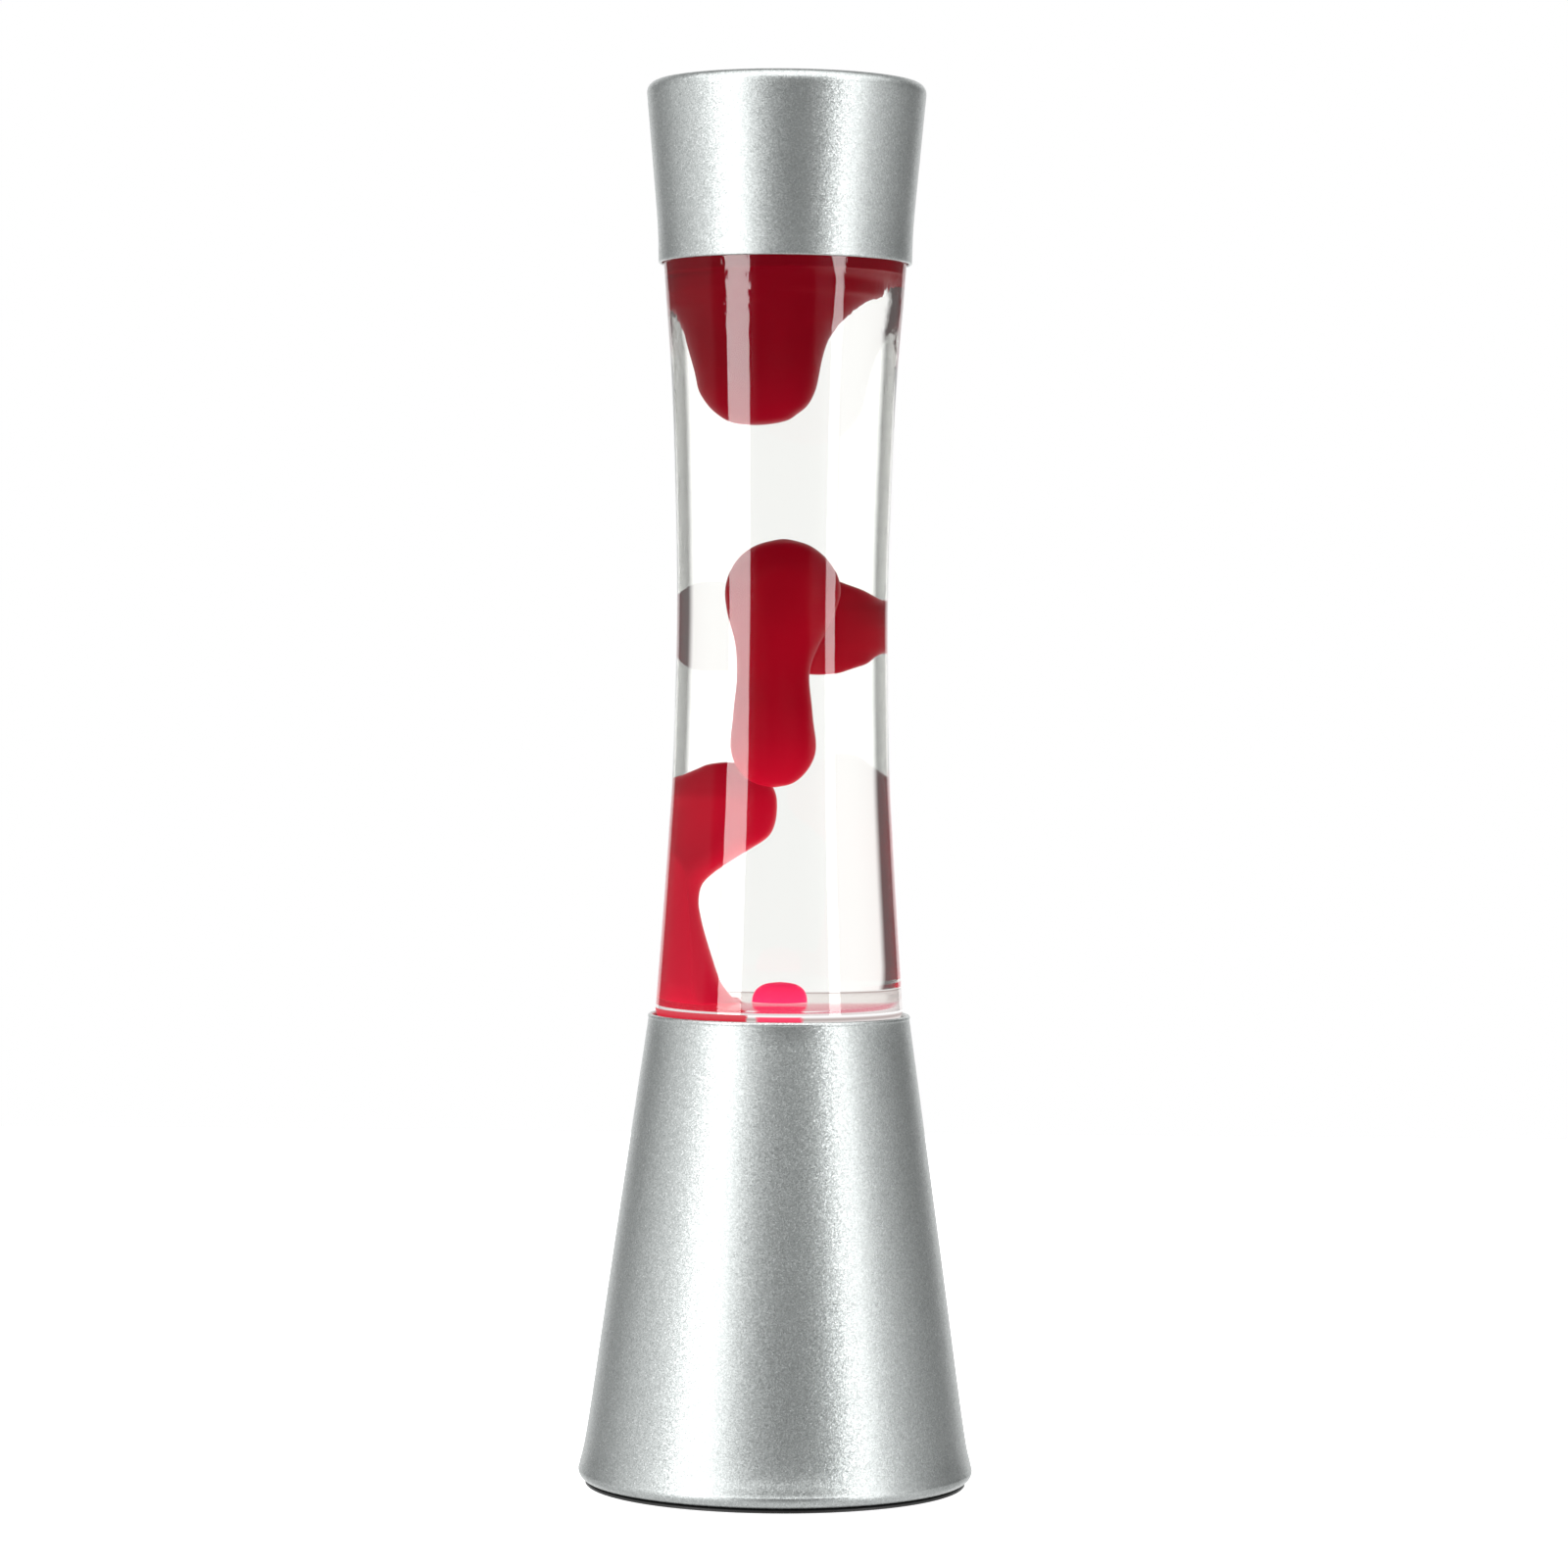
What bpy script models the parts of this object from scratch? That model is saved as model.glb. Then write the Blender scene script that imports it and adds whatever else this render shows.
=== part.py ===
"""Lava lamp: a cone base with an E14 reflector bulb in it, a waisted glass bottle of liquid and wax
that stands in the base's mouth, and a flared cap that lifts off the bottle.

Frame: metres, +Z up, origin at the centre of the lamp's foot. The lamp's front faces -Y.
Helpers below take sizes in millimetres and make meshes in metres.
"""
import math

import bmesh
import bpy
from mathutils import Matrix, Vector

MM = 0.001
GAP = 0.3                    # clearance between touching pieces, mm

# Driving dimensions, mm
LAMP_HEIGHT = 400.0
FOOT_RADIUS = 56.4           # widest point of the base
BASE_RIM_Z = 134.6           # mouth of the base
BASE_RIM_RADIUS = 37.3
CAP_LIP_Z = 348.5
CAP_LIP_RADIUS = 36.1
CAP_TOP_RADIUS = 39.8
SHEET = 1.2                  # wall of the spun aluminium
PLATE_THICKNESS = 0.9        # rim of the bottom plate, which shows under the base

BOTTLE_BOTTOM_Z = 129.8
BOTTLE_FLOOR_Z = 136.5
BOTTLE_HEEL = 7.2            # radius of the rounded heel
BOTTLE_WAIST_Z = 252.0
BOTTLE_WAIST_RADIUS = 30.1
BOTTLE_WALL = 2.6
NECK_RADIUS = 13.5
NECK_WALL = 2.5
NECK_TOP_Z = 378.0
LIQUID_TOP_Z = 347.0         # the hot wax floats above this, under the air in the neck
WAX_TOP_Z = 362.0

LIP_RADIUS = 49.2            # opening in the underside of the base
STRAP_Z = 2.7                # underside of the strap's feet
STRAP_THICKNESS = 1.5
STRAP_TOP_Z = 24.0           # underside of the strap's raised middle
STRAP_WIDTH = 16.0
PLATE_SCREW_RADIUS = 44.0

HOLDER_RADIUS = 14.0
THREAD_RADIUS = 6.95         # E14 cap, over the thread
THREAD_PITCH = 2.82
BULB_RADIUS = 19.5           # R39 reflector
BULB_TIP_Z = 118.0
BULB_CONTACT_Z = 50.0

GLAND_HEIGHT = 22.5
GLAND_BEHIND_LEFT = 23.5     # degrees that the gland sits behind the lamp's left side
GLAND_BORE = 3.1

FINE, MEDIUM, COARSE = 40, 20, 12   # segments round a turned piece


# ---------------------------------------------------------------- helpers

def clear_scene():
    for obj in list(bpy.data.objects):
        bpy.data.objects.remove(obj)


def material(name, colour, roughness, metallic=0.0, transmission=0.0):
    made = bpy.data.materials.get(name)
    if made:
        return made
    made = bpy.data.materials.new(name)
    made.use_nodes = True
    shader = made.node_tree.nodes["Principled BSDF"]
    shader.inputs["Base Color"].default_value = (*colour, 1.0)
    shader.inputs["Roughness"].default_value = roughness
    shader.inputs["Metallic"].default_value = metallic
    shader.inputs["Transmission Weight"].default_value = transmission
    made.diffuse_color = (*colour, 1.0)
    return made


def add_object(name, mesh, finish=None, parent=None):
    """Links a mesh as an object; with no finish it is a hidden cutter."""
    obj = bpy.data.objects.new(name, mesh)
    bpy.context.scene.collection.objects.link(obj)
    if finish:
        mesh.materials.append(finish)
        mesh.shade_smooth()
        mesh.set_sharp_from_angle(angle=math.radians(35))
    else:
        obj.hide_render = True
        obj.display_type = "WIRE"
    if parent:
        obj.parent = parent
    return obj


def finish_mesh(name, bm):
    """Turns every face outwards, scales millimetres to metres and writes the mesh."""
    bmesh.ops.recalc_face_normals(bm, faces=bm.faces)
    bmesh.ops.scale(bm, vec=(MM, MM, MM), verts=bm.verts)
    mesh = bpy.data.meshes.new(name)
    bm.to_mesh(mesh)
    bm.free()
    return mesh


def bridge_rings(bm, rings):
    """Quads between neighbouring rings; a ring of one vertex is a point on the axis."""
    for lower, upper in zip(rings, rings[1:]):
        count = max(len(lower), len(upper))
        if count == 1:
            continue
        for i in range(count):
            j = (i + 1) % count
            corners = [lower[i % len(lower)], lower[j % len(lower)],
                       upper[j % len(upper)], upper[i % len(upper)]]
            bm.faces.new(list(dict.fromkeys(corners)))


def turned_mesh(name, profile, segments):
    """Solid of revolution about Z. profile is (radius, z) round a closed outline, or from axis to axis.

    A flat end that reaches the axis becomes one face.
    """
    bm = bmesh.new()
    rings = []
    on_axis = profile[0][0] < 1e-6
    flat_start = on_axis and profile[0][1] == profile[1][1]
    flat_end = on_axis and profile[-1][1] == profile[-2][1]
    for radius, z in profile[int(flat_start):len(profile) - int(flat_end)]:
        if radius < 1e-6:
            rings.append([bm.verts.new((0, 0, z))])
            continue
        turns = [2 * math.pi * i / segments for i in range(segments)]
        rings.append([bm.verts.new((radius * math.cos(t), radius * math.sin(t), z)) for t in turns])
    if not on_axis:
        rings.append(rings[0])
    bridge_rings(bm, rings)
    if flat_start:
        bm.faces.new(rings[0])
    if flat_end:
        bm.faces.new(rings[-1])
    return finish_mesh(name, bm)


def turned(name, profile, finish=None, segments=MEDIUM, parent=None):
    return add_object(name, turned_mesh(name, profile, segments), finish, parent)


def arc(centre_r, centre_z, radius, start, end, steps=4):
    """Points (r, z) on an arc, angles in degrees from +r towards +z."""
    angles = [math.radians(start + (end - start) * i / steps) for i in range(steps + 1)]
    return [(centre_r + radius * math.cos(a), centre_z + radius * math.sin(a)) for a in angles]


def through(points, steps):
    """Catmull-Rom curve through the points, with steps spans between each pair."""
    vectors = [Vector(p) for p in points]
    padded = [2 * vectors[0] - vectors[1], *vectors, 2 * vectors[-1] - vectors[-2]]
    curve = []
    for a, b, c, d in zip(padded, padded[1:], padded[2:], padded[3:]):
        for i in range(steps):
            t = i / steps
            curve.append(0.5 * (2 * b + (c - a) * t + (2 * a - 5 * b + 4 * c - d) * t * t
                                + (3 * b - a - 3 * c + d) * t ** 3))
    return [tuple(p) for p in curve] + [tuple(vectors[-1])]


def offset(points, distance):
    """Outline (r, z) moved inwards, towards the axis, by distance."""
    moved = []
    for i, (r, z) in enumerate(points):
        before, after = points[max(i - 1, 0)], points[min(i + 1, len(points) - 1)]
        run, rise = after[0] - before[0], after[1] - before[1]
        length = math.hypot(run, rise)
        inward, upward = distance * abs(rise) / length, distance * run * math.copysign(1, rise) / length
        moved.append((r - inward, z + upward))
    return moved


def boolean(obj, cutter, operation="DIFFERENCE"):
    modifier = obj.modifiers.new(cutter.name, "BOOLEAN")
    modifier.operation = operation
    modifier.solver = "EXACT"
    modifier.object = cutter


def box_cutter(name, size, matrix):
    bm = bmesh.new()
    bmesh.ops.create_cube(bm, size=1.0, matrix=matrix @ Matrix.Diagonal((*size, 1.0)))
    return add_object(name, finish_mesh(name, bm))


def tube(name, points, radius, finish, sides=2, parent=None):
    """Wire along a smooth curve through the points, as a bevelled poly curve with filled caps."""
    curve = bpy.data.curves.new(name, "CURVE")
    curve.dimensions = "3D"
    curve.bevel_depth = radius * MM
    curve.bevel_resolution = sides
    curve.use_fill_caps = True
    line = curve.splines.new("POLY")
    line.points.add(len(points) - 1)
    for point, (x, y, z) in zip(line.points, points):
        point.co = (x * MM, y * MM, z * MM, 1.0)
    curve.materials.append(finish)
    obj = bpy.data.objects.new(name, curve)
    bpy.context.scene.collection.objects.link(obj)
    if parent:
        obj.parent = parent
    return obj


def blob_mesh(name, sections, grow, segments=16, steps=1):
    """Wax blob through sections (z, centre x, centre y, radius x, radius y), rounded off at both ends."""
    bm = bmesh.new()
    rings = []
    smooth = through(sections, steps)
    middle = 0.5 * (smooth[0][0] + smooth[-1][0])
    for i, (z, x, y, rx, ry) in enumerate(smooth):
        if i in (0, len(smooth) - 1):
            rings.append([bm.verts.new((x, y, z + math.copysign(grow, z - middle)))])
            continue
        turns = [2 * math.pi * k / segments for k in range(segments)]
        rings.append([bm.verts.new((x + (rx + grow) * math.cos(t), y + (ry + grow) * math.sin(t), z))
                      for t in turns])
    bridge_rings(bm, rings)
    return finish_mesh(name, bm)


def screw(name, head_radius, head_height, shank_radius, length, finish, parent):
    """Pan head screw: head from z = 0 up, shank above it."""
    profile = [(0, 0), (head_radius * 0.8, 0), (head_radius, head_height * 0.35), (head_radius, head_height),
               (shank_radius, head_height), (shank_radius, head_height + length - shank_radius),
               (shank_radius * 0.4, head_height + length), (0, head_height + length)]
    return turned(name, profile, finish, COARSE, parent)


def hex_nut(name, across_corners, bore, height, finish, parent=None):
    """Nut with a plain bore, standing on z = 0."""
    bm = bmesh.new()
    rings = []
    for radius, z in ((bore, 0), (across_corners, 0), (across_corners, height), (bore, height)):
        turns = [2 * math.pi * i / 24 for i in range(24)]
        # The hexagon's outline, read at the same angles as the bore's.
        flat = [math.cos(math.pi / 6) / math.cos((t % (math.pi / 3)) - math.pi / 6) for t in turns]
        reach = [radius * f if radius > bore else radius for f in flat]
        rings.append([bm.verts.new((d * math.cos(t), d * math.sin(t), z)) for d, t in zip(reach, turns)])
    bridge_rings(bm, [*rings, rings[0]])
    return add_object(name, finish_mesh(name, bm), finish, parent)


# ---------------------------------------------------------------- outlines shared by several pieces

def base_outline():
    """Outer side of the base, from the mouth down to the start of the rounded foot."""
    points = [(BASE_RIM_RADIUS, BASE_RIM_Z), (46.6, 68.4), (53.7, 17.7), (FOOT_RADIUS - 0.1, 4.6)]
    return through(points, 2)


def base_radius(height):
    """Outer radius of the base at a height."""
    outline = base_outline()
    for (r_high, z_high), (r_low, z_low) in zip(outline, outline[1:]):
        if z_low <= height <= z_high:
            return r_low + (r_high - r_low) * (height - z_low) / (z_high - z_low)
    return BASE_RIM_RADIUS


def bottle_side():
    """Outer side of the bottle from above the heel up to the shoulder, an hourglass about its waist."""
    points = [(35.5, 134.0), (33.8, 158.0), (32.1, 184.0), (30.8, 209.0),
              (BOTTLE_WAIST_RADIUS, BOTTLE_WAIST_Z), (31.1, 293.0), (32.3, 318.0), (33.7, 336.0),
              (34.9, 352.0)]
    return through(points, 1)


def shoulder(radius_loss):
    """Shoulder from the side in to the neck; radius_loss is the wall on the inner line."""
    edge = 34.9 - radius_loss
    neck = NECK_RADIUS - (NECK_WALL if radius_loss else 0)
    return [*arc(edge - 6, 352.0, 6, 0, 62, 3)[1:], (neck + 3.5, 364.5 - radius_loss * 0.6),
            (neck, 367.5 - radius_loss * 0.4)]


def bottle_inner(inset):
    """Inside of the bottle from the middle of its floor up to the shoulder, moved in by inset."""
    side = offset(bottle_side(), BOTTLE_WALL + inset)[1:]
    corner = arc(26.6 - inset, BOTTLE_FLOOR_Z + 5.0 + inset, 5.0, -90, -15, 3)
    side = [p for p in side if p[1] > corner[-1][1] + 2]
    return [(0, BOTTLE_FLOOR_Z + inset), *corner, *side, *shoulder(BOTTLE_WALL + inset)]


def filled_to(inset, top):
    """Outline of what fills the bottle up to a level surface at height top."""
    inner = bottle_inner(inset)
    below = [p for p in inner if p[1] < top - 0.5]
    (r_low, z_low), (r_high, z_high) = below[-1], inner[len(below)]
    level = r_low + (r_high - r_low) * (top - z_low) / (z_high - z_low)
    return [*below, (level, top), (0, top)]


# ---------------------------------------------------------------- wax: sections z, x, y, radius x, radius y

WAX = {
    "wax_top": [(302.6, -6.2, 0, 0, 0), (303.1, -6.2, 0, 4.0, 4.2), (304.2, -5.7, 0, 6.7, 7.0),
                (306.0, -5.8, 0, 8.6, 8.8), (308.5, -5.8, 0, 10.6, 10.8), (312.8, -6.1, 0, 12.5, 12.8),
                (317.5, -6.1, 0, 13.5, 14.0), (324.0, -6.1, 0, 14.7, 15.5), (329.4, -5.8, 0, 16.1, 17.0),
                (333.8, -5.2, 0, 18.1, 19.0), (337.0, -4.9, 0, 20.3, 21.0), (339.0, -5.5, 0, 23.3, 23.0),
                (340.5, -5.0, 0, 26.0, 25.0), (343.5, -4.5, 0, 27.0, 28.0), (345.5, -1.5, 0, 29.5, 31.0),
                (348.0, 0, 0, 37.0, 37.0), (364.0, 0, 0, 37.0, 37.0), (365.0, 0, 0, 0, 0)],
    "wax_middle": [(199.4, -1.8, -13, 0, 0), (200.9, -1.8, -13, 5.2, 5.0), (205.5, -1.9, -13, 9.0, 8.4),
                   (212.0, -2.0, -13.5, 10.7, 10.0), (221.0, -2.2, -14, 9.8, 9.2),
                   (231.0, -2.2, -14.5, 9.0, 8.6), (239.0, -1.4, -15, 10.3, 10.0),
                   (248.0, -0.3, -15, 13.4, 12.4), (256.0, 0.1, -15, 14.8, 13.2), (263.0, 0, -15, 12.2, 11.4),
                   (268.0, 0.1, -15, 7.0, 6.8), (270.2, 0.2, -15, 0, 0)],
    "wax_side": [(231.3, 6.5, 14.5, 0, 0), (231.8, 6.8, 14.5, 3.2, 2.6), (233.0, 7.2, 14.5, 5.0, 4.2),
                 (234.7, 8.0, 14.5, 6.8, 5.6), (236.7, 8.4, 14.5, 7.5, 6.8), (238.6, 8.8, 14.5, 8.4, 7.6),
                 (241.5, 10.8, 14.5, 10.2, 8.2), (245.5, 12.5, 14.5, 12.2, 8.6),
                 (249.5, 11.0, 14.5, 10.5, 8.3), (252.4, 9.2, 14.5, 8.0, 7.4), (254.4, 8.4, 14.5, 7.3, 6.6),
                 (256.2, 7.6, 14.5, 6.4, 5.4), (257.6, 6.8, 14.5, 5.0, 4.2), (258.8, 6.4, 14.5, 3.4, 2.6),
                 (259.4, 6.2, 14.5, 0, 0)],
    "wax_lower": [(206.2, -10.6, 8, 0, 0), (205.8, -10.6, 8, 2.2, 2.0), (205.2, -11.2, 8, 3.5, 3.2),
                  (204.0, -11.2, 8, 5.3, 4.8), (202.4, -11.5, 8, 7.5, 6.6), (200.9, -12.0, 8, 9.3, 8.2),
                  (199.6, -12.6, 8, 10.9, 9.6), (196.7, -14.2, 7.5, 13.4, 11.5), (193.0, -14.3, 7, 13.7, 12.5),
                  (188.5, -15.0, 6, 13.9, 13.6), (184.6, -16.4, 5, 13.8, 14.8), (181.2, -19.0, 4, 12.6, 15.8),
                  (177.2, -23.5, 3, 12.2, 17.4), (174.6, -26.8, 2.5, 12.4, 18.6),
                  (171.3, -29.3, 1.9, 12.1, 19.7), (166.8, -30.5, 1, 12.3, 20.9),
                  (162.3, -30.4, 0.5, 12.6, 21.8), (156.0, -30.2, 0, 13.8, 22.5), (145.0, -28.6, 0, 15.3, 23.0),
                  (139.0, -26.0, 0, 15.3, 22.3), (135.5, -24.5, 0, 15.6, 21.0), (131.0, -24.5, 0, 15.0, 20.0),
                  (130.5, -25.0, 0, 0, 0)],
    "wax_dome": [(143.9, 0.2, -4, 0, 0), (143.2, 0.2, -4, 3.1, 3.1), (141.5, 0.2, -4, 5.0, 5.0),
                 (139.0, 0.2, -4, 6.0, 6.0), (136.4, 0.2, -4, 6.2, 6.2), (133.0, 0.2, -4, 5.9, 5.9),
                 (132.5, 0.2, -4, 0, 0)],
}


# ---------------------------------------------------------------- base

def make_base(aluminium, black, steel, rubber, silicone):
    foot = arc(FOOT_RADIUS - 3.1, 4.3, 3.1, 0, -90, 4)
    outer = [*base_outline(), *foot, (LIP_RADIUS, 1.2)]
    inner = [(r - SHEET, z) for r, z in base_outline()]
    inner = [(LIP_RADIUS, 1.2 + SHEET), (FOOT_RADIUS - 3.4, 1.2 + SHEET), *reversed(inner[1:])]
    rim = [(inner[-1][0], BASE_RIM_Z - 3), (BASE_RIM_RADIUS - SHEET, BASE_RIM_Z - 0.4),
           (BASE_RIM_RADIUS - SHEET + 0.35, BASE_RIM_Z), (BASE_RIM_RADIUS - 0.3, BASE_RIM_Z)]
    outer[0] = (BASE_RIM_RADIUS + 0.05, BASE_RIM_Z - 0.35)
    base = turned("base_shell", [*outer, *inner[:-1], *rim[1:]], aluminium, FINE)

    ring_outer = base_radius(128.0) - SHEET - GAP
    turned("seat_ring", [(28.0, 126.8), (ring_outer - 1.2, 126.8), (ring_outer - 0.9, 118.0),
                         (ring_outer, 118.0), (ring_outer, 128.0), (28.0, 128.0)], steel, FINE)
    turned("seat_cushion", [(29.0, 128.3), (34.6, 128.3), (34.6, 129.5), (29.0, 129.5)], silicone)

    rim_radius = 54.4
    plate = turned("bottom_plate", [(0, 1.2), (47.4, 1.2), (47.6, 0), (rim_radius - 0.2, 0),
                                    (rim_radius, 0.2),
                                    (rim_radius, PLATE_THICKNESS), (LIP_RADIUS - GAP, PLATE_THICKNESS),
                                    (LIP_RADIUS - GAP, 2.4), (0, 2.4)], black, FINE)
    for i in range(8):
        turn = Matrix.Rotation(2 * math.pi * (i + 0.5) / 8, 4, "Z")
        place = turn @ Matrix.Translation((24, 0, 2))
        boolean(plate, box_cutter(f"vent_cutter_{i + 1}", (14, 2.6, 6), place))
    for i in range(3):
        pad_profile = [(0, 0), (5.6, 0), (6, 0.3), (6, 0.9), (0, 0.9)]
        pad = turned(f"anti_slip_pad_{i + 1}", pad_profile, rubber, COARSE)
        angle = math.radians(90 + 120 * i)
        pad.location = (40 * MM * math.cos(angle), 40 * MM * math.sin(angle), 0)

    strap = make_strap(steel)
    for i, side in enumerate((-1, 1)):
        place = (side * PLATE_SCREW_RADIUS * MM, 0, 0.1 * MM)
        screw(f"bottom_screw_{i + 1}", 2.9, 0.8, 1.3, 6.0, steel, None).location = place
        hole = [(0, -2), (1.7, -2), (1.7, 8), (0, 8)]
        cutter = turned(f"screw_hole_{i + 1}", hole, segments=COARSE)
        cutter.location = place
        boolean(plate, cutter)
        boolean(strap, cutter)
    return base


def make_strap(steel):
    """Hat-shaped strap across the base. Its feet rest on the base's lip, its middle carries the holder."""
    low, high, half = STRAP_Z, STRAP_TOP_Z, STRAP_WIDTH / 2
    t = STRAP_THICKNESS
    rise, run = high - low, 10.0
    shift = t * (math.hypot(rise, run) - run) / rise
    line = [(-50.2, low), (-27 - run, low), (-27, high), (27, high), (27 + run, low), (50.2, low)]
    upper = [(-50.2, low + t), (-27 - run - shift, low + t), (-27 - shift, high + t), (27 + shift, high + t),
             (27 + run + shift, low + t), (50.2, low + t)]
    bm = bmesh.new()
    outline = line + upper[::-1]
    near = [bm.verts.new((x, -half, z)) for x, z in outline]
    far = [bm.verts.new((x, half, z)) for x, z in outline]
    count = len(outline)
    for i in range(count):
        j = (i + 1) % count
        bm.faces.new([near[i], near[j], far[j], far[i]])
    for i in range(len(line) - 1):
        for verts in (near, far):
            bm.faces.new([verts[i], verts[i + 1], verts[count - 2 - i], verts[count - 1 - i]])
    strap = add_object("holder_bracket", finish_mesh("holder_bracket", bm), steel)
    hole = turned("nipple_hole", [(0, high - 3), (5.3, high - 3), (5.3, high + 5), (0, high + 5)],
                  segments=COARSE)
    boolean(strap, hole)
    return strap


def make_gland(base, black):
    """Cord gland, square to the sloping wall behind the lamp's left side, and its nut inside."""
    wall = base_radius(GLAND_HEIGHT)
    lean = math.atan((base_radius(12.0) - base_radius(33.0)) / 21.0)
    azimuth = math.radians(180 - GLAND_BEHIND_LEFT)
    empty = bpy.data.objects.new("gland_axis", None)
    bpy.context.scene.collection.objects.link(empty)
    out = Vector((math.cos(azimuth), math.sin(azimuth), 0))
    empty.location = (out * wall + Vector((0, 0, GLAND_HEIGHT))) * MM
    direction = out * math.cos(lean) + Vector((0, 0, math.sin(lean)))
    empty.rotation_euler = direction.to_track_quat("Z", "Y").to_euler()
    # Local z = 0 is the outer side of the wall.
    turned("cord_gland", [(GLAND_BORE, -9), (4.0, -9), (4.3, -8.4), (4.3, 0.4), (6.0, 0.4), (6.0, 1.3),
                          (5.2, 2.1), (GLAND_BORE + 0.6, 2.1), (GLAND_BORE, 1.5)], black, COARSE, empty)
    nut = hex_nut("gland_nut", 7.4, 4.6, 3.0, black, empty)
    nut.location = (0, 0, -5.4 * MM)
    hole = turned("gland_hole", [(0, -6), (4.7, -6), (4.7, 5), (0, 5)], segments=COARSE, parent=empty)
    boolean(base, hole)


# ---------------------------------------------------------------- lampholder, bulb

def make_holder(brass, steel, phenolic, ceramic, red_wire, blue_wire):
    top = STRAP_TOP_Z + STRAP_THICKNESS
    turned("nipple", [(3.4, 16.0), (4.6, 16.0), (5.0, 16.4), (5.0, 33.6), (4.6, 34.0), (3.4, 34.0)], steel,
           COARSE)
    hex_nut("nipple_nut_lower", 9.0, 5.3, 3.0, steel).location = (0, 0, (STRAP_TOP_Z - 3.3) * MM)
    hex_nut("nipple_nut_upper", 9.0, 5.3, 3.0, steel).location = (0, 0, 30.6 * MM)
    # Lower part: a cup with a hole for the nipple; the upper nut clamps its floor.
    floor = top + GAP
    turned("lampholder_base", [(5.3, floor), (11.0, floor), (12.6, floor + 1.6), (HOLDER_RADIUS, 44.6),
                               (HOLDER_RADIUS - 1.8, 44.6), (11.2, 30.3), (5.3, 30.3)], phenolic)
    turned("lampholder_shell", [(9.0, 48.3), (HOLDER_RADIUS - 1.9, 48.3), (HOLDER_RADIUS - 1.9, 44.9),
                                (HOLDER_RADIUS, 44.9), (HOLDER_RADIUS, 69.4), (HOLDER_RADIUS - 0.9, 70.3),
                                (10.6, 70.3), (9.0, 69.0)], phenolic)
    turned("terminal_block", [(0, 40.6), (10.9, 40.6), (10.9, 46.4), (0, 46.4)], ceramic)
    grooves = []
    for i in range(6):
        z = 52.6 + THREAD_PITCH * i
        grooves += [(THREAD_RADIUS + 0.25, z), (THREAD_RADIUS + 0.55, z + THREAD_PITCH / 2)]
    turned("thread_sleeve", [*grooves, (THREAD_RADIUS + 0.55, 69.0), (8.6, 69.0), (8.6, 50.6),
                             (THREAD_RADIUS + 0.55, 50.6)], brass)
    turned("centre_contact", [(0, 46.7), (5.0, 46.7), (5.0, 47.2), (2.4, 49.6), (0, 49.6)], brass, COARSE)
    make_leads(red_wire, blue_wire)


def make_leads(red_wire, blue_wire):
    """Two insulated wires from the gland, under the strap and up through the nipple to the terminals."""
    azimuth = math.radians(180 - GLAND_BEHIND_LEFT)
    for name, side, finish in (("live_lead", 1, red_wire), ("neutral_lead", -1, blue_wire)):
        apart = Vector((-math.sin(azimuth), math.cos(azimuth), 0)) * side
        out = Vector((math.cos(azimuth), math.sin(azimuth), 0))
        route = [out * 42 + Vector((0, 0, 21.2)) + apart * 1.5, out * 36 + Vector((0, 0, 18.0)) + apart * 2.2,
                 out * 26 + Vector((0, 0, 10.5)) + apart * 3.0, out * 13 + Vector((0, 0, 7.5)) + apart * 2.6,
                 out * 3.5 + Vector((0, 0, 9.5)) + apart * 1.7, Vector((0, 0, 15.5)) + apart * 1.45,
                 Vector((0, 0, 24.0)) + apart * 1.45, Vector((0, 0, 34.0)) + apart * 1.6,
                 Vector((0, 0, 40.2)) + apart * 4.0]
        tube(name, through(route, 3), 1.1, finish)


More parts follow.
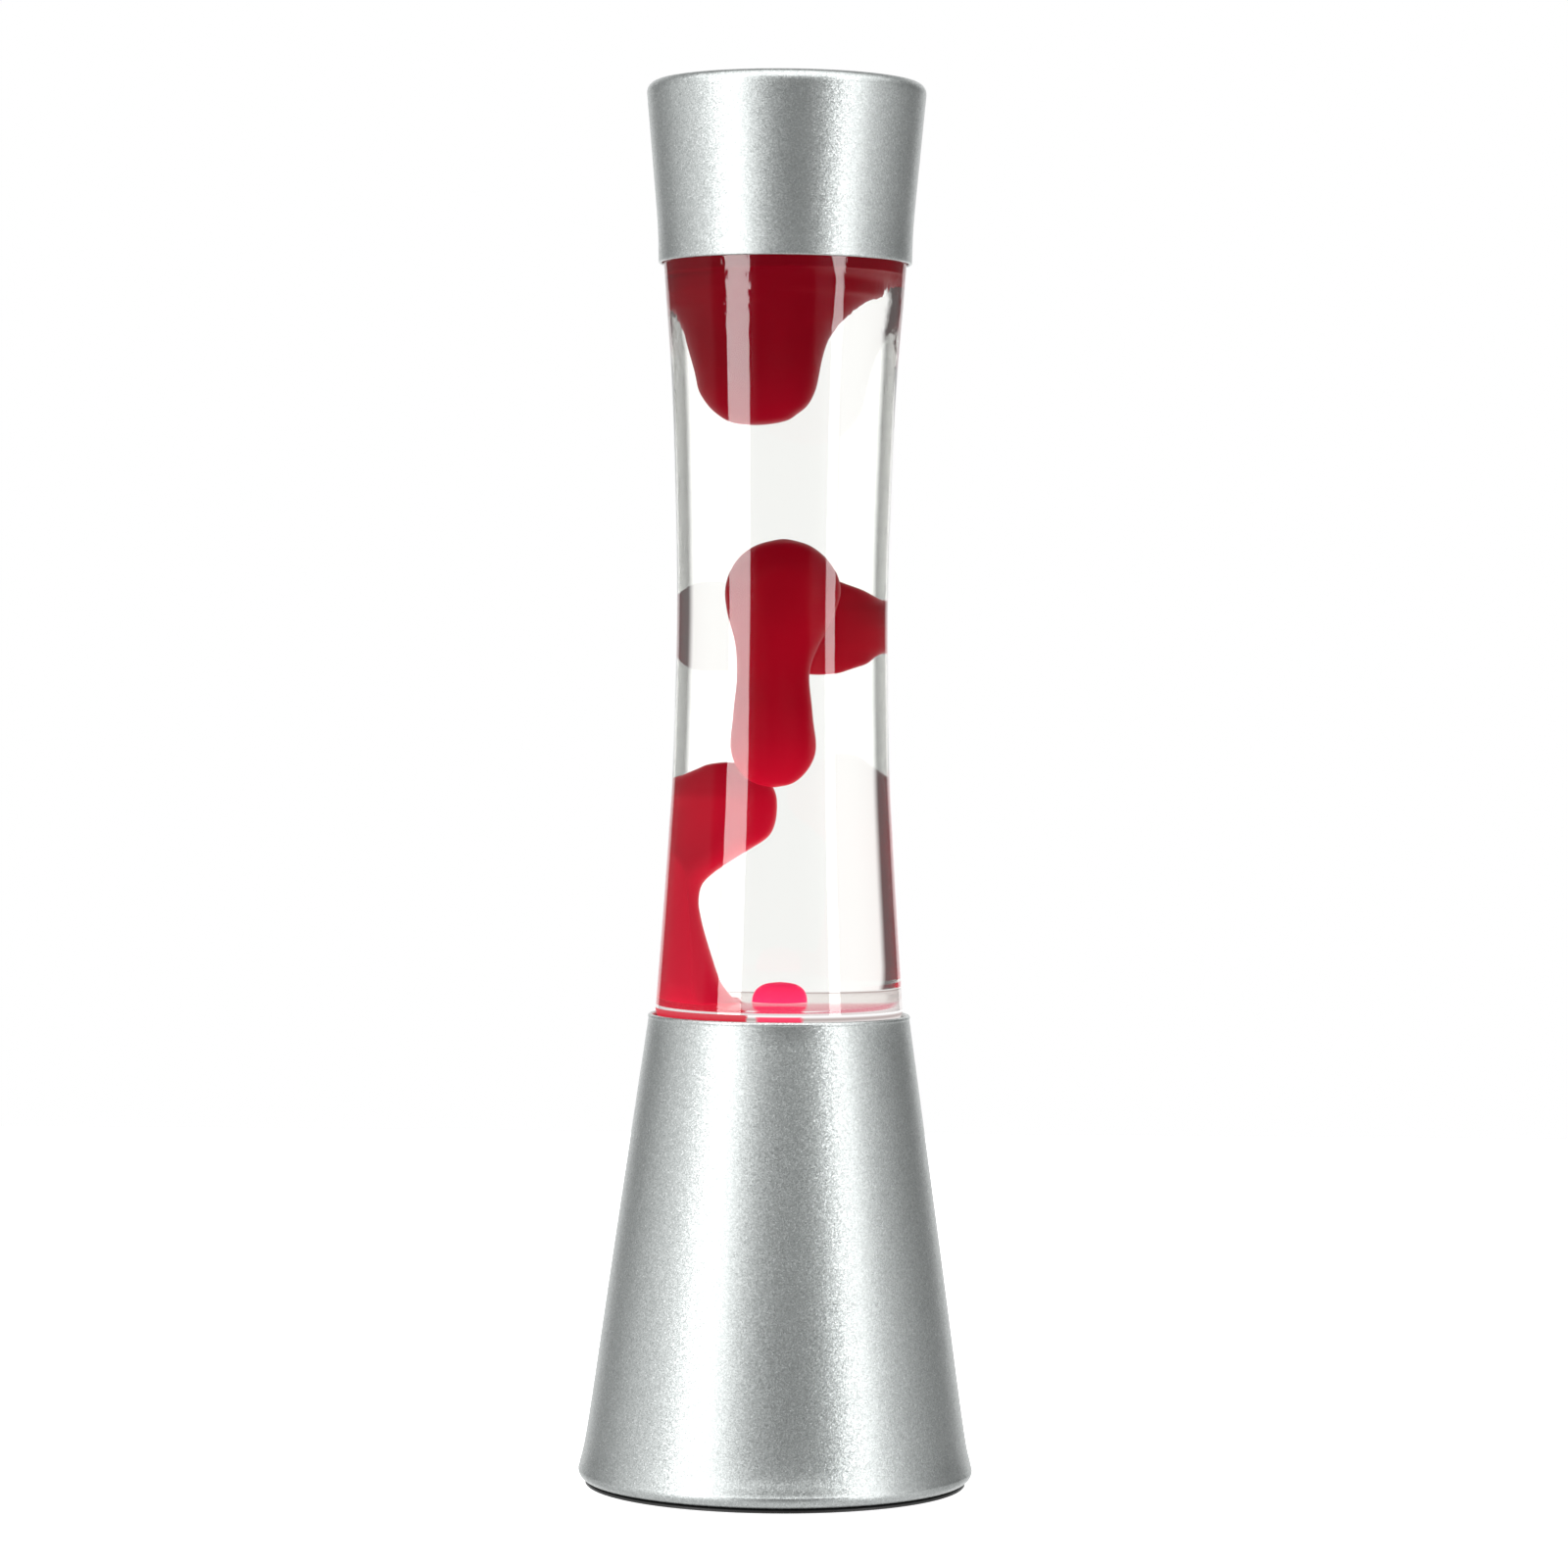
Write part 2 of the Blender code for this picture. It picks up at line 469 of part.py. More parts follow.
def make_bulb(parent, clear, brass, ceramic, tungsten):
    """E14 R39 reflector bulb; everything in it turns with the screw cap."""
    z = BULB_CONTACT_Z
    turned("bulb_contact", [(0, z), (1.8, z), (2.4, z + 0.8), (2.4, z + 1.6), (0, z + 1.6)], brass, COARSE,
           parent)
    turned("bulb_insulator", [(0, z + 1.9), (3.2, z + 1.9), (5.4, z + 3.4), (5.4, z + 4.1), (0, z + 4.1)],
           ceramic, COARSE, parent)
    ridges = []
    for i in range(5):
        low = z + 4.6 + THREAD_PITCH * (i + 0.55)
        ridges += [(THREAD_RADIUS - 0.45, low - THREAD_PITCH / 2), (THREAD_RADIUS, low)]
    turned("bulb_screw_cap", [(0, z + 4.4), (6.0, z + 4.4), *ridges, (THREAD_RADIUS - 0.45, z + 20.0),
                              (THREAD_RADIUS, z + 23.4), (THREAD_RADIUS - 0.35, z + 23.4),
                              (THREAD_RADIUS - 0.8, z + 20.0), (THREAD_RADIUS - 0.9, z + 5.0), (0, z + 5.0)],
           brass, MEDIUM, parent)
    widest = BULB_RADIUS
    neck = [(5.6, z + 20.6), (5.6, z + 25.0), (8.6, z + 30.0), (14.2, z + 39.0), (18.2, z + 48.5)]
    outer = [*neck, *arc(widest - 6, z + 55.5, 6, -10, 65, 3), (7.5, BULB_TIP_Z - 0.6), (0, BULB_TIP_Z)]
    inner = [(0, BULB_TIP_Z - 0.9), (7.4, BULB_TIP_Z - 1.5), *arc(widest - 6, z + 55.5, 5.1, 65, -10, 3),
             *[(r - 0.9, h) for r, h in reversed(neck)]]
    turned("bulb_envelope", [*outer, *inner], clear, MEDIUM, parent)
    turned("bulb_stem", [(0, z + 14.0), (3.6, z + 14.0), (3.6, z + 19.0), (1.9, z + 22.0), (1.7, z + 34.0),
                         (0, z + 34.6)], clear, COARSE, parent)
    coil = [(-5.2, 0, 92), (-6.4, 0, 96.0), (-5.4, 0, 98.6), (-2.6, 0.4, 99.2), (0, -0.4, 99.4),
            (2.6, 0.4, 99.2),
            (5.4, 0, 98.6), (6.4, 0, 96.0), (5.2, 0, 92)]
    legs = [(-2.6, 0, 84.9), *coil, (2.6, 0, 84.9)]
    tube("bulb_filament", through(legs, 2), 0.25, tungsten, 1, parent)


# ---------------------------------------------------------------- bottle and what is in it

def make_bottle(parent, glass, clear_liquid, wax, tin, foam):
    side = bottle_side()
    heel = [(0, BOTTLE_BOTTOM_Z + 1.0), (26.0, BOTTLE_BOTTOM_Z + 1.0), (28.5, BOTTLE_BOTTOM_Z),
            *arc(28.2, BOTTLE_BOTTOM_Z + BOTTLE_HEEL, BOTTLE_HEEL, -80, -8, 5)]
    neck = [(NECK_RADIUS, NECK_TOP_Z - 0.4), (NECK_RADIUS - 0.4, NECK_TOP_Z),
            (NECK_RADIUS - NECK_WALL + 0.4, NECK_TOP_Z), (NECK_RADIUS - NECK_WALL, NECK_TOP_Z - 0.4)]
    side = [p for p in side if p[1] > heel[-1][1] + 1]
    profile = [*heel, *side, *shoulder(0), *neck, *reversed(bottle_inner(0))]
    turned("glass_bottle", profile, glass, FINE, parent)

    turned("bottle_closure", [(0, 381.0), (15.2, 381.0), (16.0, 380.2), (16.0, 370.4), (14.6, 370.4),
                              (14.6, 379.9), (0, 379.9)], tin, MEDIUM, parent)
    turned("closure_liner", [(0, NECK_TOP_Z + GAP), (13.9, NECK_TOP_Z + GAP), (13.9, 379.6), (0, 379.6)],
           foam, MEDIUM, parent)

    liquid = turned("liquid", filled_to(GAP, LIQUID_TOP_Z), clear_liquid, FINE, parent)
    bound = turned("wax_bound", filled_to(2 * GAP, WAX_TOP_Z), segments=FINE, parent=parent)
    for name, sections in WAX.items():
        piece = add_object(name, blob_mesh(name, sections, 0), wax, parent)
        boolean(piece, bound, "INTERSECT")
        cutter = add_object(f"{name}_cavity", blob_mesh(f"{name}_cavity", sections, GAP), None, parent)
        boolean(liquid, cutter)


# ---------------------------------------------------------------- cap

def make_cap(parent, aluminium, plastic):
    side = through([(CAP_LIP_RADIUS, CAP_LIP_Z + 0.3), (36.5, 359.6), (37.95, 376.3),
                    (CAP_TOP_RADIUS, 396.6)], 2)
    inside = [(r - SHEET, z) for r, z in side]
    outer = [(CAP_LIP_RADIUS - 0.4, CAP_LIP_Z), *side, *arc(CAP_TOP_RADIUS - 3, 397.0, 3, 10, 90, 3),
             (34.6, LAMP_HEIGHT), (33.6, LAMP_HEIGHT - 1.0), (0, LAMP_HEIGHT - 1.0)]
    inner = [(0, LAMP_HEIGHT - 1.0 - SHEET), (34.2, LAMP_HEIGHT - 1.0 - SHEET),
             (CAP_TOP_RADIUS - SHEET - 1.6, 397.4), *reversed(inside), (CAP_LIP_RADIUS - SHEET, CAP_LIP_Z)]
    turned("cap_shell", [*outer, *inner], aluminium, FINE, parent)
    grip = [(22.0, 364.4), (33.6, 361.4), (35.2, 360.4), (35.2, 368.4), (34.0, 368.4), (34.0, 366.0),
            (22.0, 366.0)]
    turned("cap_sleeve", grip, plastic, MEDIUM, parent)


# ---------------------------------------------------------------- the lamp

def axis_empty(name):
    empty = bpy.data.objects.new(name, None)
    bpy.context.scene.collection.objects.link(empty)
    return empty


def main():
    clear_scene()
    aluminium = material("satin aluminium", (0.62, 0.63, 0.62), 0.36, 1.0)
    black = material("black plastic", (0.02, 0.02, 0.02), 0.5)
    steel = material("zinc-plated steel", (0.62, 0.62, 0.6), 0.35, 1.0)
    rubber = material("rubber", (0.03, 0.03, 0.03), 0.8)
    silicone = material("silicone", (0.75, 0.75, 0.72), 0.6)
    brass = material("nickel-plated brass", (0.75, 0.7, 0.55), 0.3, 1.0)
    phenolic = material("phenolic", (0.04, 0.035, 0.03), 0.4)
    ceramic = material("ceramic", (0.85, 0.84, 0.8), 0.4)
    red_wire = material("brown insulation", (0.2, 0.07, 0.03), 0.5)
    blue_wire = material("blue insulation", (0.03, 0.12, 0.45), 0.5)
    clear = material("bulb glass", (0.95, 0.95, 0.95), 0.05, 0.0, 1.0)
    tungsten = material("tungsten", (0.35, 0.34, 0.33), 0.5, 1.0)
    glass = material("bottle glass", (1.0, 1.0, 1.0), 0.02, 0.0, 1.0)
    clear_liquid = material("clear liquid", (0.97, 0.98, 1.0), 0.0, 0.0, 1.0)
    wax = material("red wax", (0.6, 0.0, 0.03), 0.3)
    tin = material("tinplate", (0.7, 0.68, 0.62), 0.3, 1.0)
    foam = material("liner foam", (0.85, 0.85, 0.83), 0.9)
    plastic = material("white plastic", (0.8, 0.8, 0.78), 0.5)

    base = make_base(aluminium, black, steel, rubber, silicone)
    make_gland(base, black)
    make_holder(brass, steel, phenolic, ceramic, red_wire, blue_wire)
    make_bulb(axis_empty("bulb_axis"), clear, brass, ceramic, tungsten)
    bottle_axis = axis_empty("bottle_axis")
    make_bottle(bottle_axis, glass, clear_liquid, wax, tin, foam)
    make_cap(axis_empty("cap_axis"), aluminium, plastic)


main()
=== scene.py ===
"""Lava lamp: the finished surfaces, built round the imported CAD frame.

Helpers take millimetres and make meshes in metres, in the frame of the CAD model.
"""
import math

import bmesh
import bpy
from mathutils import Matrix, Vector, noise


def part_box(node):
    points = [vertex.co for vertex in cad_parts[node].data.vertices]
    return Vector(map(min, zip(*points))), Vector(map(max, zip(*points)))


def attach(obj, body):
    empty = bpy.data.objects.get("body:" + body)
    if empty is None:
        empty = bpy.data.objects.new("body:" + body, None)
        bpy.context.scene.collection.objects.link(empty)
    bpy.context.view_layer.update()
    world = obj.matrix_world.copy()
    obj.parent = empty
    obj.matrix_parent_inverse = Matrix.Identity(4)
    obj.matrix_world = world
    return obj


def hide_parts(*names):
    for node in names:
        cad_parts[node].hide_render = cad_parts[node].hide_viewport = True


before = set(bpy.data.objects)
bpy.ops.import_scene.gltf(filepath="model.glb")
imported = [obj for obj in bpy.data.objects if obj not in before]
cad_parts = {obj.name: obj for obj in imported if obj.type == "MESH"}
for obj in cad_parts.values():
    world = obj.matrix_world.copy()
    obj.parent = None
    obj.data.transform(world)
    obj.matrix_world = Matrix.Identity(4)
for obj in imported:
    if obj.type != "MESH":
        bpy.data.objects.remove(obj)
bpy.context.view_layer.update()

MM = 0.001
ROUND = 192                  # segments round a large turned piece


# ---------------------------------------------------------------- sizes read from the frame, mm

def low(node):
    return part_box(node)[0] / MM


def high(node):
    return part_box(node)[1] / MM


FOOT_RADIUS = high("base_shell").x
BASE_RIM_Z = high("base_shell").z
BASE_LOW_Z = low("base_shell").z
CAP_LIP_Z = low("cap_shell").z
LAMP_HEIGHT = high("cap_shell").z
CAP_TOP_RADIUS = high("cap_shell").x
BOTTLE_BOTTOM_Z = low("glass_bottle").z
BOTTLE_FLOOR_Z = 136.5       # inside the bottle, so not an edge of any node's box
LIQUID_TOP_Z = 347.0         # below the hollows for the wax, which reach higher
WAX_TOP_Z = high("wax_top").z
NECK_TOP_Z = high("glass_bottle").z
PLATE_RADIUS = high("bottom_plate").x
BULB_RADIUS = high("bulb_envelope").x
BULB_TIP_Z = high("bulb_envelope").z
BOTTLE_WALL = 2.6
HEEL = 7.2                   # radius of the bottle's rounded heel
NECK_RADIUS = 13.5
NECK_WALL = 2.5
SHEET = 1.2
SIDE_SLOPE = (54.70 - 51.45) / 21.0   # how far the base's wall leans in for each mm of height


# ---------------------------------------------------------------- mesh helpers

def arc(centre_r, centre_z, radius, start, end, steps=8):
    """Points (r, z) on an arc, angles in degrees from +r towards +z."""
    angles = [math.radians(start + (end - start) * i / steps) for i in range(steps + 1)]
    return [(centre_r + radius * math.cos(a), centre_z + radius * math.sin(a)) for a in angles]


def through(points, steps):
    """Catmull-Rom curve through the points, with steps spans between each pair."""
    vectors = [Vector(p) for p in points]
    padded = [2 * vectors[0] - vectors[1], *vectors, 2 * vectors[-1] - vectors[-2]]
    curve = []
    for a, b, c, d in zip(padded, padded[1:], padded[2:], padded[3:]):
        for i in range(steps):
            t = i / steps
            curve.append(0.5 * (2 * b + (c - a) * t + (2 * a - 5 * b + 4 * c - d) * t * t
                                + (3 * b - a - 3 * c + d) * t ** 3))
    return [tuple(p) for p in curve] + [tuple(vectors[-1])]


def offset(points, distance):
    """Outline (r, z) moved towards the axis by distance, square to the outline."""
    moved = []
    for i, (r, z) in enumerate(points):
        before, after = points[max(i - 1, 0)], points[min(i + 1, len(points) - 1)]
        run, rise = after[0] - before[0], after[1] - before[1]
        length = math.hypot(run, rise)
        inward, upward = distance * abs(rise) / length, distance * run * math.copysign(1, rise) / length
        moved.append((r - inward, z + upward))
    return moved


def level_radius(outline, z):
    """Radius of an outline (r, z) at height z."""
    for (r_a, z_a), (r_b, z_b) in zip(outline, outline[1:]):
        if min(z_a, z_b) <= z <= max(z_a, z_b) and z_a != z_b:
            return r_a + (r_b - r_a) * (z - z_a) / (z_b - z_a)
    return outline[-1][0]


def new_piece(name, bm, materials, body, replaces=(), sharp=40):
    """Writes a bmesh in mm as an object in metres that rides on a body."""
    bmesh.ops.recalc_face_normals(bm, faces=bm.faces)
    bmesh.ops.scale(bm, vec=(MM, MM, MM), verts=bm.verts)
    mesh = bpy.data.meshes.new(name)
    bm.to_mesh(mesh)
    bm.free()
    for material in materials:
        mesh.materials.append(material)
    mesh.shade_smooth()
    mesh.set_sharp_from_angle(angle=math.radians(sharp))
    obj = bpy.data.objects.new(name, mesh)
    bpy.context.scene.collection.objects.link(obj)
    if body:
        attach(obj, body)
    if replaces:
        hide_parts(*replaces)
    return obj


def turned_bmesh(profile, segments=ROUND, slots=None, squeeze=None):
    """Solid of revolution about Z from (r, z) points, round a closed outline or from axis to axis.

    slots gives a material index for each span of the profile.
    """
    bm = bmesh.new()
    rings = []
    for radius, z in profile:
        if radius < 1e-6:
            rings.append([bm.verts.new((0, 0, z))])
            continue
        turns = [2 * math.pi * i / segments for i in range(segments)]
        rings.append([bm.verts.new((radius * math.cos(t), radius * math.sin(t), z)) for t in turns])
    if profile[0][0] > 1e-6:
        rings.append(rings[0])
    for span, (first, second) in enumerate(zip(rings, rings[1:])):
        count = max(len(first), len(second))
        if count == 1:
            continue
        for i in range(count):
            j = (i + 1) % count
            corners = [first[i % len(first)], first[j % len(first)],
                       second[j % len(second)], second[i % len(second)]]
            face = bm.faces.new(list(dict.fromkeys(corners)))
            if slots:
                face.material_index = slots[span]
    return bm


def turned(name, profile, material, body, replaces=(), segments=ROUND, sharp=40):
    return new_piece(name, turned_bmesh(profile, segments), [material], body, replaces, sharp)


# ---------------------------------------------------------------- material helpers

class Nodes:
    """A material's node tree, with short calls to add and link nodes."""

    def __init__(self, name):
        self.material = bpy.data.materials.new(name)
        self.material.use_nodes = True
        self.tree = self.material.node_tree
        self.shader = self.tree.nodes["Principled BSDF"]
        self.output = self.tree.nodes["Material Output"]
        self.coordinates = self.tree.nodes.new("ShaderNodeTexCoord")

    def add(self, kind, inputs=None, **settings):
        node = self.tree.nodes.new(kind)
        for key, value in settings.items():
            setattr(node, key, value)
        for key, value in (inputs or {}).items():
            self.feed(node.inputs[key], value)
        return node

    def feed(self, socket, value):
        if isinstance(value, bpy.types.NodeSocket):
            self.tree.links.new(value, socket)
        else:
            socket.default_value = value

    def set(self, **values):
        for key, value in values.items():
            self.feed(self.shader.inputs[key.replace("_", " ")], value)

    def scaled(self, x, y, z):
        """Object coordinates, in metres, stretched by x, y and z."""
        mapping = self.add("ShaderNodeMapping", {"Scale": (x, y, z)})
        self.tree.links.new(self.coordinates.outputs["Object"], mapping.inputs["Vector"])
        return mapping.outputs["Vector"]

    def noise(self, vector, scale=1.0, detail=2.0, roughness=0.5):
        return self.add("ShaderNodeTexNoise", {"Vector": vector, "Scale": scale, "Detail": detail,
                                               "Roughness": roughness}).outputs["Fac"]

    def remap(self, value, low_in, high_in, low_out, high_out):
        return self.add("ShaderNodeMapRange", {"Value": value, "From Min": low_in, "From Max": high_in,
                                               "To Min": low_out, "To Max": high_out}).outputs["Result"]

    def ramp(self, value, stops):
        """Colour ramp through (position, (r, g, b)) stops."""
        node = self.add("ShaderNodeValToRGB", {"Fac": value})
        elements = node.color_ramp.elements
        while len(elements) < len(stops):
            elements.new(0.5)
        for element, (position, colour) in zip(elements, stops):
            element.position = position
            element.color = (*colour, 1.0)
        return node.outputs["Color"]

    def mix(self, factor, first, second):
        node = self.add("ShaderNodeMix", data_type="RGBA")
        sockets = (node.inputs["Factor"], node.inputs[6], node.inputs[7])
        for socket, value in zip(sockets, (factor, first, second)):
            self.feed(socket, value)
        return node.outputs[2]

    def bump(self, height, distance, strength=1.0, normal=None):
        """Bump normal; distance in metres is how far a height of 1 stands out."""
        inputs = {"Height": height, "Distance": distance, "Strength": strength}
        if normal:
            inputs["Normal"] = normal
        return self.add("ShaderNodeBump", inputs).outputs["Normal"]


def flake_metal():
    """Silver paint: fine aluminium flakes that each tip a little, under a satin surface."""
    n = Nodes("flake_silver")
    flakes = n.scaled(1000, 1000, 1000)
    cells = n.add("ShaderNodeTexVoronoi", {"Vector": flakes, "Scale": 4.0})
    large = n.add("ShaderNodeTexVoronoi", {"Vector": flakes, "Scale": 2.5})
    tip = n.add("ShaderNodeVectorMath", {0: cells.outputs["Color"], 1: (0.5, 0.5, 0.5)}, operation="SUBTRACT")
    tilt = n.add("ShaderNodeVectorMath", {0: tip.outputs["Vector"], "Scale": 0.15}, operation="SCALE")
    geometry = n.add("ShaderNodeNewGeometry")
    total = n.add("ShaderNodeVectorMath", {0: geometry.outputs["Normal"], 1: tilt.outputs["Vector"]},
                  operation="ADD")
    normal = n.add("ShaderNodeVectorMath", {0: total.outputs["Vector"]}, operation="NORMALIZE")
    cell_value = n.add("ShaderNodeSeparateColor", {"Color": cells.outputs["Color"]}).outputs["Red"]
    large_value = n.add("ShaderNodeSeparateColor", {"Color": large.outputs["Color"]}).outputs["Green"]
    both = n.add("ShaderNodeMath", {0: cell_value, 1: large_value}, operation="ADD").outputs["Value"]
    n.set(Base_Color=n.ramp(n.remap(both, 0.0, 2.0, 0.0, 1.0),
                            [(0.0, (0.42, 0.445, 0.44)), (0.5, (0.575, 0.605, 0.598)),
                             (0.82, (0.66, 0.69, 0.685)), (1.0, (0.95, 0.98, 0.975))]),
          Metallic=1.0, Roughness=n.remap(cell_value, 0.0, 1.0, 0.44, 0.36), Normal=normal.outputs["Vector"])
    return n.material


def plain_metal(name, colour, roughness, scratch=0.00001, stretch=(400, 400, 4000)):
    """Metal with fine lines that run round it."""
    n = Nodes(name)
    lines = n.noise(n.scaled(*stretch), 1.0, 3.0)
    cloud = n.noise(n.scaled(120, 120, 120), 1.0, 2.0)
    darker = tuple(c * 0.82 for c in colour)
    n.set(Base_Color=n.ramp(cloud, [(0.3, darker), (0.7, colour)]), Metallic=1.0,
          Roughness=n.remap(lines, 0.3, 0.7, roughness * 0.8, roughness * 1.3), Normal=n.bump(lines, scratch))
    return n.material


def plastic(name, colour, roughness, grain=0.00002, scale=2500, coat=0.0):
    """Moulded plastic, rubber or ceramic with a fine grain."""
    n = Nodes(name)
    fine = n.noise(n.scaled(scale, scale, scale), 1.0, 2.0)
    cloud = n.noise(n.scaled(90, 90, 90), 1.0, 3.0)
    lighter = tuple(min(1.0, c * 1.15 + 0.004) for c in colour)
    n.set(Base_Color=n.ramp(cloud, [(0.3, colour), (0.75, lighter)]),
          Roughness=n.remap(fine, 0.3, 0.7, roughness * 0.85, min(1.0, roughness * 1.2)),
          Normal=n.bump(fine, grain), Coat_Weight=coat)
    return n.material


def clear_surface(name, ior, wave=0.0, tint=(1.0, 1.0, 1.0)):
    """Clear boundary with the given index of refraction, wavy by wave metres as blown glass is."""
    n = Nodes(name)
    n.set(Transmission_Weight=1.0, Roughness=0.0, IOR=ior)
    cloud = n.noise(n.scaled(60, 60, 12), 1.0, 2.0)
    n.set(Base_Color=n.ramp(cloud, [(0.3, tint), (0.7, tuple(min(1.0, c * 1.01) for c in tint))]))
    if wave:
        long_waves = n.bump(n.noise(n.scaled(45, 45, 16), 1.0, 1.5), wave)
        height = n.add("ShaderNodeSeparateXYZ", {"Vector": n.coordinates.outputs["Object"]}).outputs["Z"]
        pitted = n.remap(height, 0.322, 0.347, 0.012, 1.0)
        n.set(Normal=n.bump(n.noise(n.scaled(260, 260, 110), 1.0, 2.5), wave * 1.6, pitted, long_waves))
    return n.material


# Painted light: the wax's emission colours, brightest at the bottle's floor and dark at the top, stand in for
# the bulb's light.
GLOW_FROM, GLOW_TO = 0.136, 0.346    # heights, in metres, that the colour stops below run between
WAX_PAINTED_GLOW = [(0.0, (0.64, 0.006, 0.032)), (0.06, (0.60, 0.006, 0.030)), (0.27, (0.52, 0.003, 0.020)),
            (0.42, (0.29, 0.001, 0.0087)), (0.60, (0.23, 0.0003, 0.006)), (0.80, (0.22, 0.001, 0.008)),
            (0.88, (0.16, 0.0006, 0.005)), (1.0, (0.125, 0.0004, 0.004))]
DOME_PAINTED_GLOW = [(0.0, (1.35, 0.050, 0.19)), (0.02, (1.32, 0.044, 0.17)), (0.045, (1.25, 0.036, 0.145))]


def red_wax(name, stops):
    """Translucent red wax with a painted glow: emission that is brighter towards the bulb and on its
    undersides stands in for light from under the bottle.
    """
    n = Nodes(name)
    height = n.add("ShaderNodeSeparateXYZ", {"Vector": n.coordinates.outputs["Object"]}).outputs["Z"]
    share = n.remap(height, GLOW_FROM, GLOW_TO, 0.0, 1.0)
    painted_glow = n.ramp(share, stops)
    normal = n.add("ShaderNodeNewGeometry").outputs["Normal"]
    up = n.add("ShaderNodeSeparateXYZ", {"Vector": normal}).outputs["Z"]
    cloud = n.noise(n.scaled(70, 70, 40), 1.0, 2.0)
    # painted light from below: undersides glow brighter, tops darker
    under = n.remap(up, -1.0, 1.0, 1.35, 0.65)
    drift = n.remap(cloud, 0.3, 0.7, 0.96, 1.04)
    strength = n.add("ShaderNodeMath", {0: under, 1: drift}, operation="MULTIPLY").outputs["Value"]
    n.set(Base_Color=n.ramp(cloud, [(0.25, (0.030, 0.0002, 0.001)), (0.75, (0.040, 0.0003, 0.0015))]),
          Roughness=0.35, IOR=1.08, Emission_Color=painted_glow, Emission_Strength=strength,
          Normal=n.bump(n.noise(n.scaled(160, 160, 160), 1.0, 2.0), 0.00008))
    return n.material


def bulb_glass():
    """Reflector bulb's glass: silvered inside on the cone, frosted and glowing on the dome."""
    n = Nodes("bulb_glass")
    frost = n.noise(n.scaled(3000, 3000, 3000), 1.0, 2.0)
    n.set(Base_Color=n.ramp(frost, [(0.3, (0.86, 0.83, 0.78)), (0.7, (0.95, 0.92, 0.87))]), Roughness=0.35,
          Emission_Color=n.ramp(frost, [(0.2, (1.0, 0.72, 0.42)), (0.8, (1.0, 0.80, 0.52))]),
          Emission_Strength=2.5, Normal=n.bump(frost, 0.00001))
    return n.material


def painted_light_foot():
    """Stippled underside and heel of the bottle, with painted light: an emission glow stands in for the
    bulb's light, with painted red where wax lies above them and painted light and dark bands for what the
    glass reflects.
    """
    n = Nodes("painted_light_foot")
    stipple = n.noise(n.scaled(900, 900, 900), 1.0, 2.0)
    place = n.add("ShaderNodeSeparateXYZ", {"Vector": n.coordinates.outputs["Object"]})
    wobble = n.remap(stipple, 0.3, 0.7, -0.006, 0.006)
    across = n.add("ShaderNodeMath", {0: n.remap(place.outputs["X"], -0.035, 0.035, 0.0, 1.0), 1: wobble},
                   operation="ADD").outputs["Value"]
    depth = n.remap(place.outputs["Y"], -0.035, 0.035, 0.0, 1.0)
    height = n.remap(place.outputs["Z"], 0.1344, 0.1384, 0.0, 1.0)
    # painted colour for what shows through the underside: light, then wax red, then light again from front to
    # back
    painted_underside = n.ramp(depth, [(0.17, (1.0, 0.98, 0.97)), (0.22, (0.74, 0.26, 0.32)), (0.48, (0.78, 0.36, 0.40)),
                          (0.60, (0.86, 0.80, 0.79))])
    # painted light and dark bands up the heel stand in for what the glass reflects and shows through it
    rings = n.ramp(height, [(0.0, (0.80, 0.76, 0.75)), (0.20, (0.42, 0.34, 0.33)), (0.30, (0.62, 0.55, 0.54)),
                            (0.40, (1.0, 1.0, 1.0)), (0.80, (1.0, 1.0, 1.0)), (1.0, (0.92, 0.74, 0.75))])
    on_heel = n.remap(place.outputs["Z"], 0.1322, 0.1332, 0.0, 1.0)
    # painted red spot where the wax dome over the bulb shows through
    painted_dome_mask = n.ramp(across, [(0.405, (0, 0, 0)), (0.42, (1, 1, 1)), (0.585, (1, 1, 1)),
                                 (0.60, (0, 0, 0))])
    low_enough = n.ramp(height, [(0.34, (1, 1, 1)), (0.42, (0, 0, 0))])
    in_front = n.remap(place.outputs["Y"], -0.006, -0.010, 0.0, 1.0)
    painted_dome_share = n.add("ShaderNodeMath", {0: painted_dome_mask, 1: low_enough}, operation="MULTIPLY")
    painted_dome_share = n.add("ShaderNodeMath", {0: painted_dome_share.outputs["Value"], 1: in_front},
                       operation="MULTIPLY").outputs["Value"]
    # painted wax red towards the left, where the lower wax shows through
    painted_wax_share = n.remap(across, 0.375, 0.365, 0.0, 1.0)
    colour = n.mix(on_heel, painted_underside, rings)
    colour = n.mix(painted_dome_share, colour, (0.98, 0.035, 0.125, 1))
    colour = n.mix(painted_wax_share, colour, (0.66, 0.003, 0.028, 1))
    # emission makes the whole foot glow: painted light from the bulb below
    n.set(Base_Color=n.ramp(stipple, [(0.3, (0.035, 0.03, 0.03)), (0.7, (0.045, 0.04, 0.04))]), Roughness=0.6,
          Emission_Color=colour, Emission_Strength=0.95, Normal=n.bump(stipple, 0.00005))
    return n.material


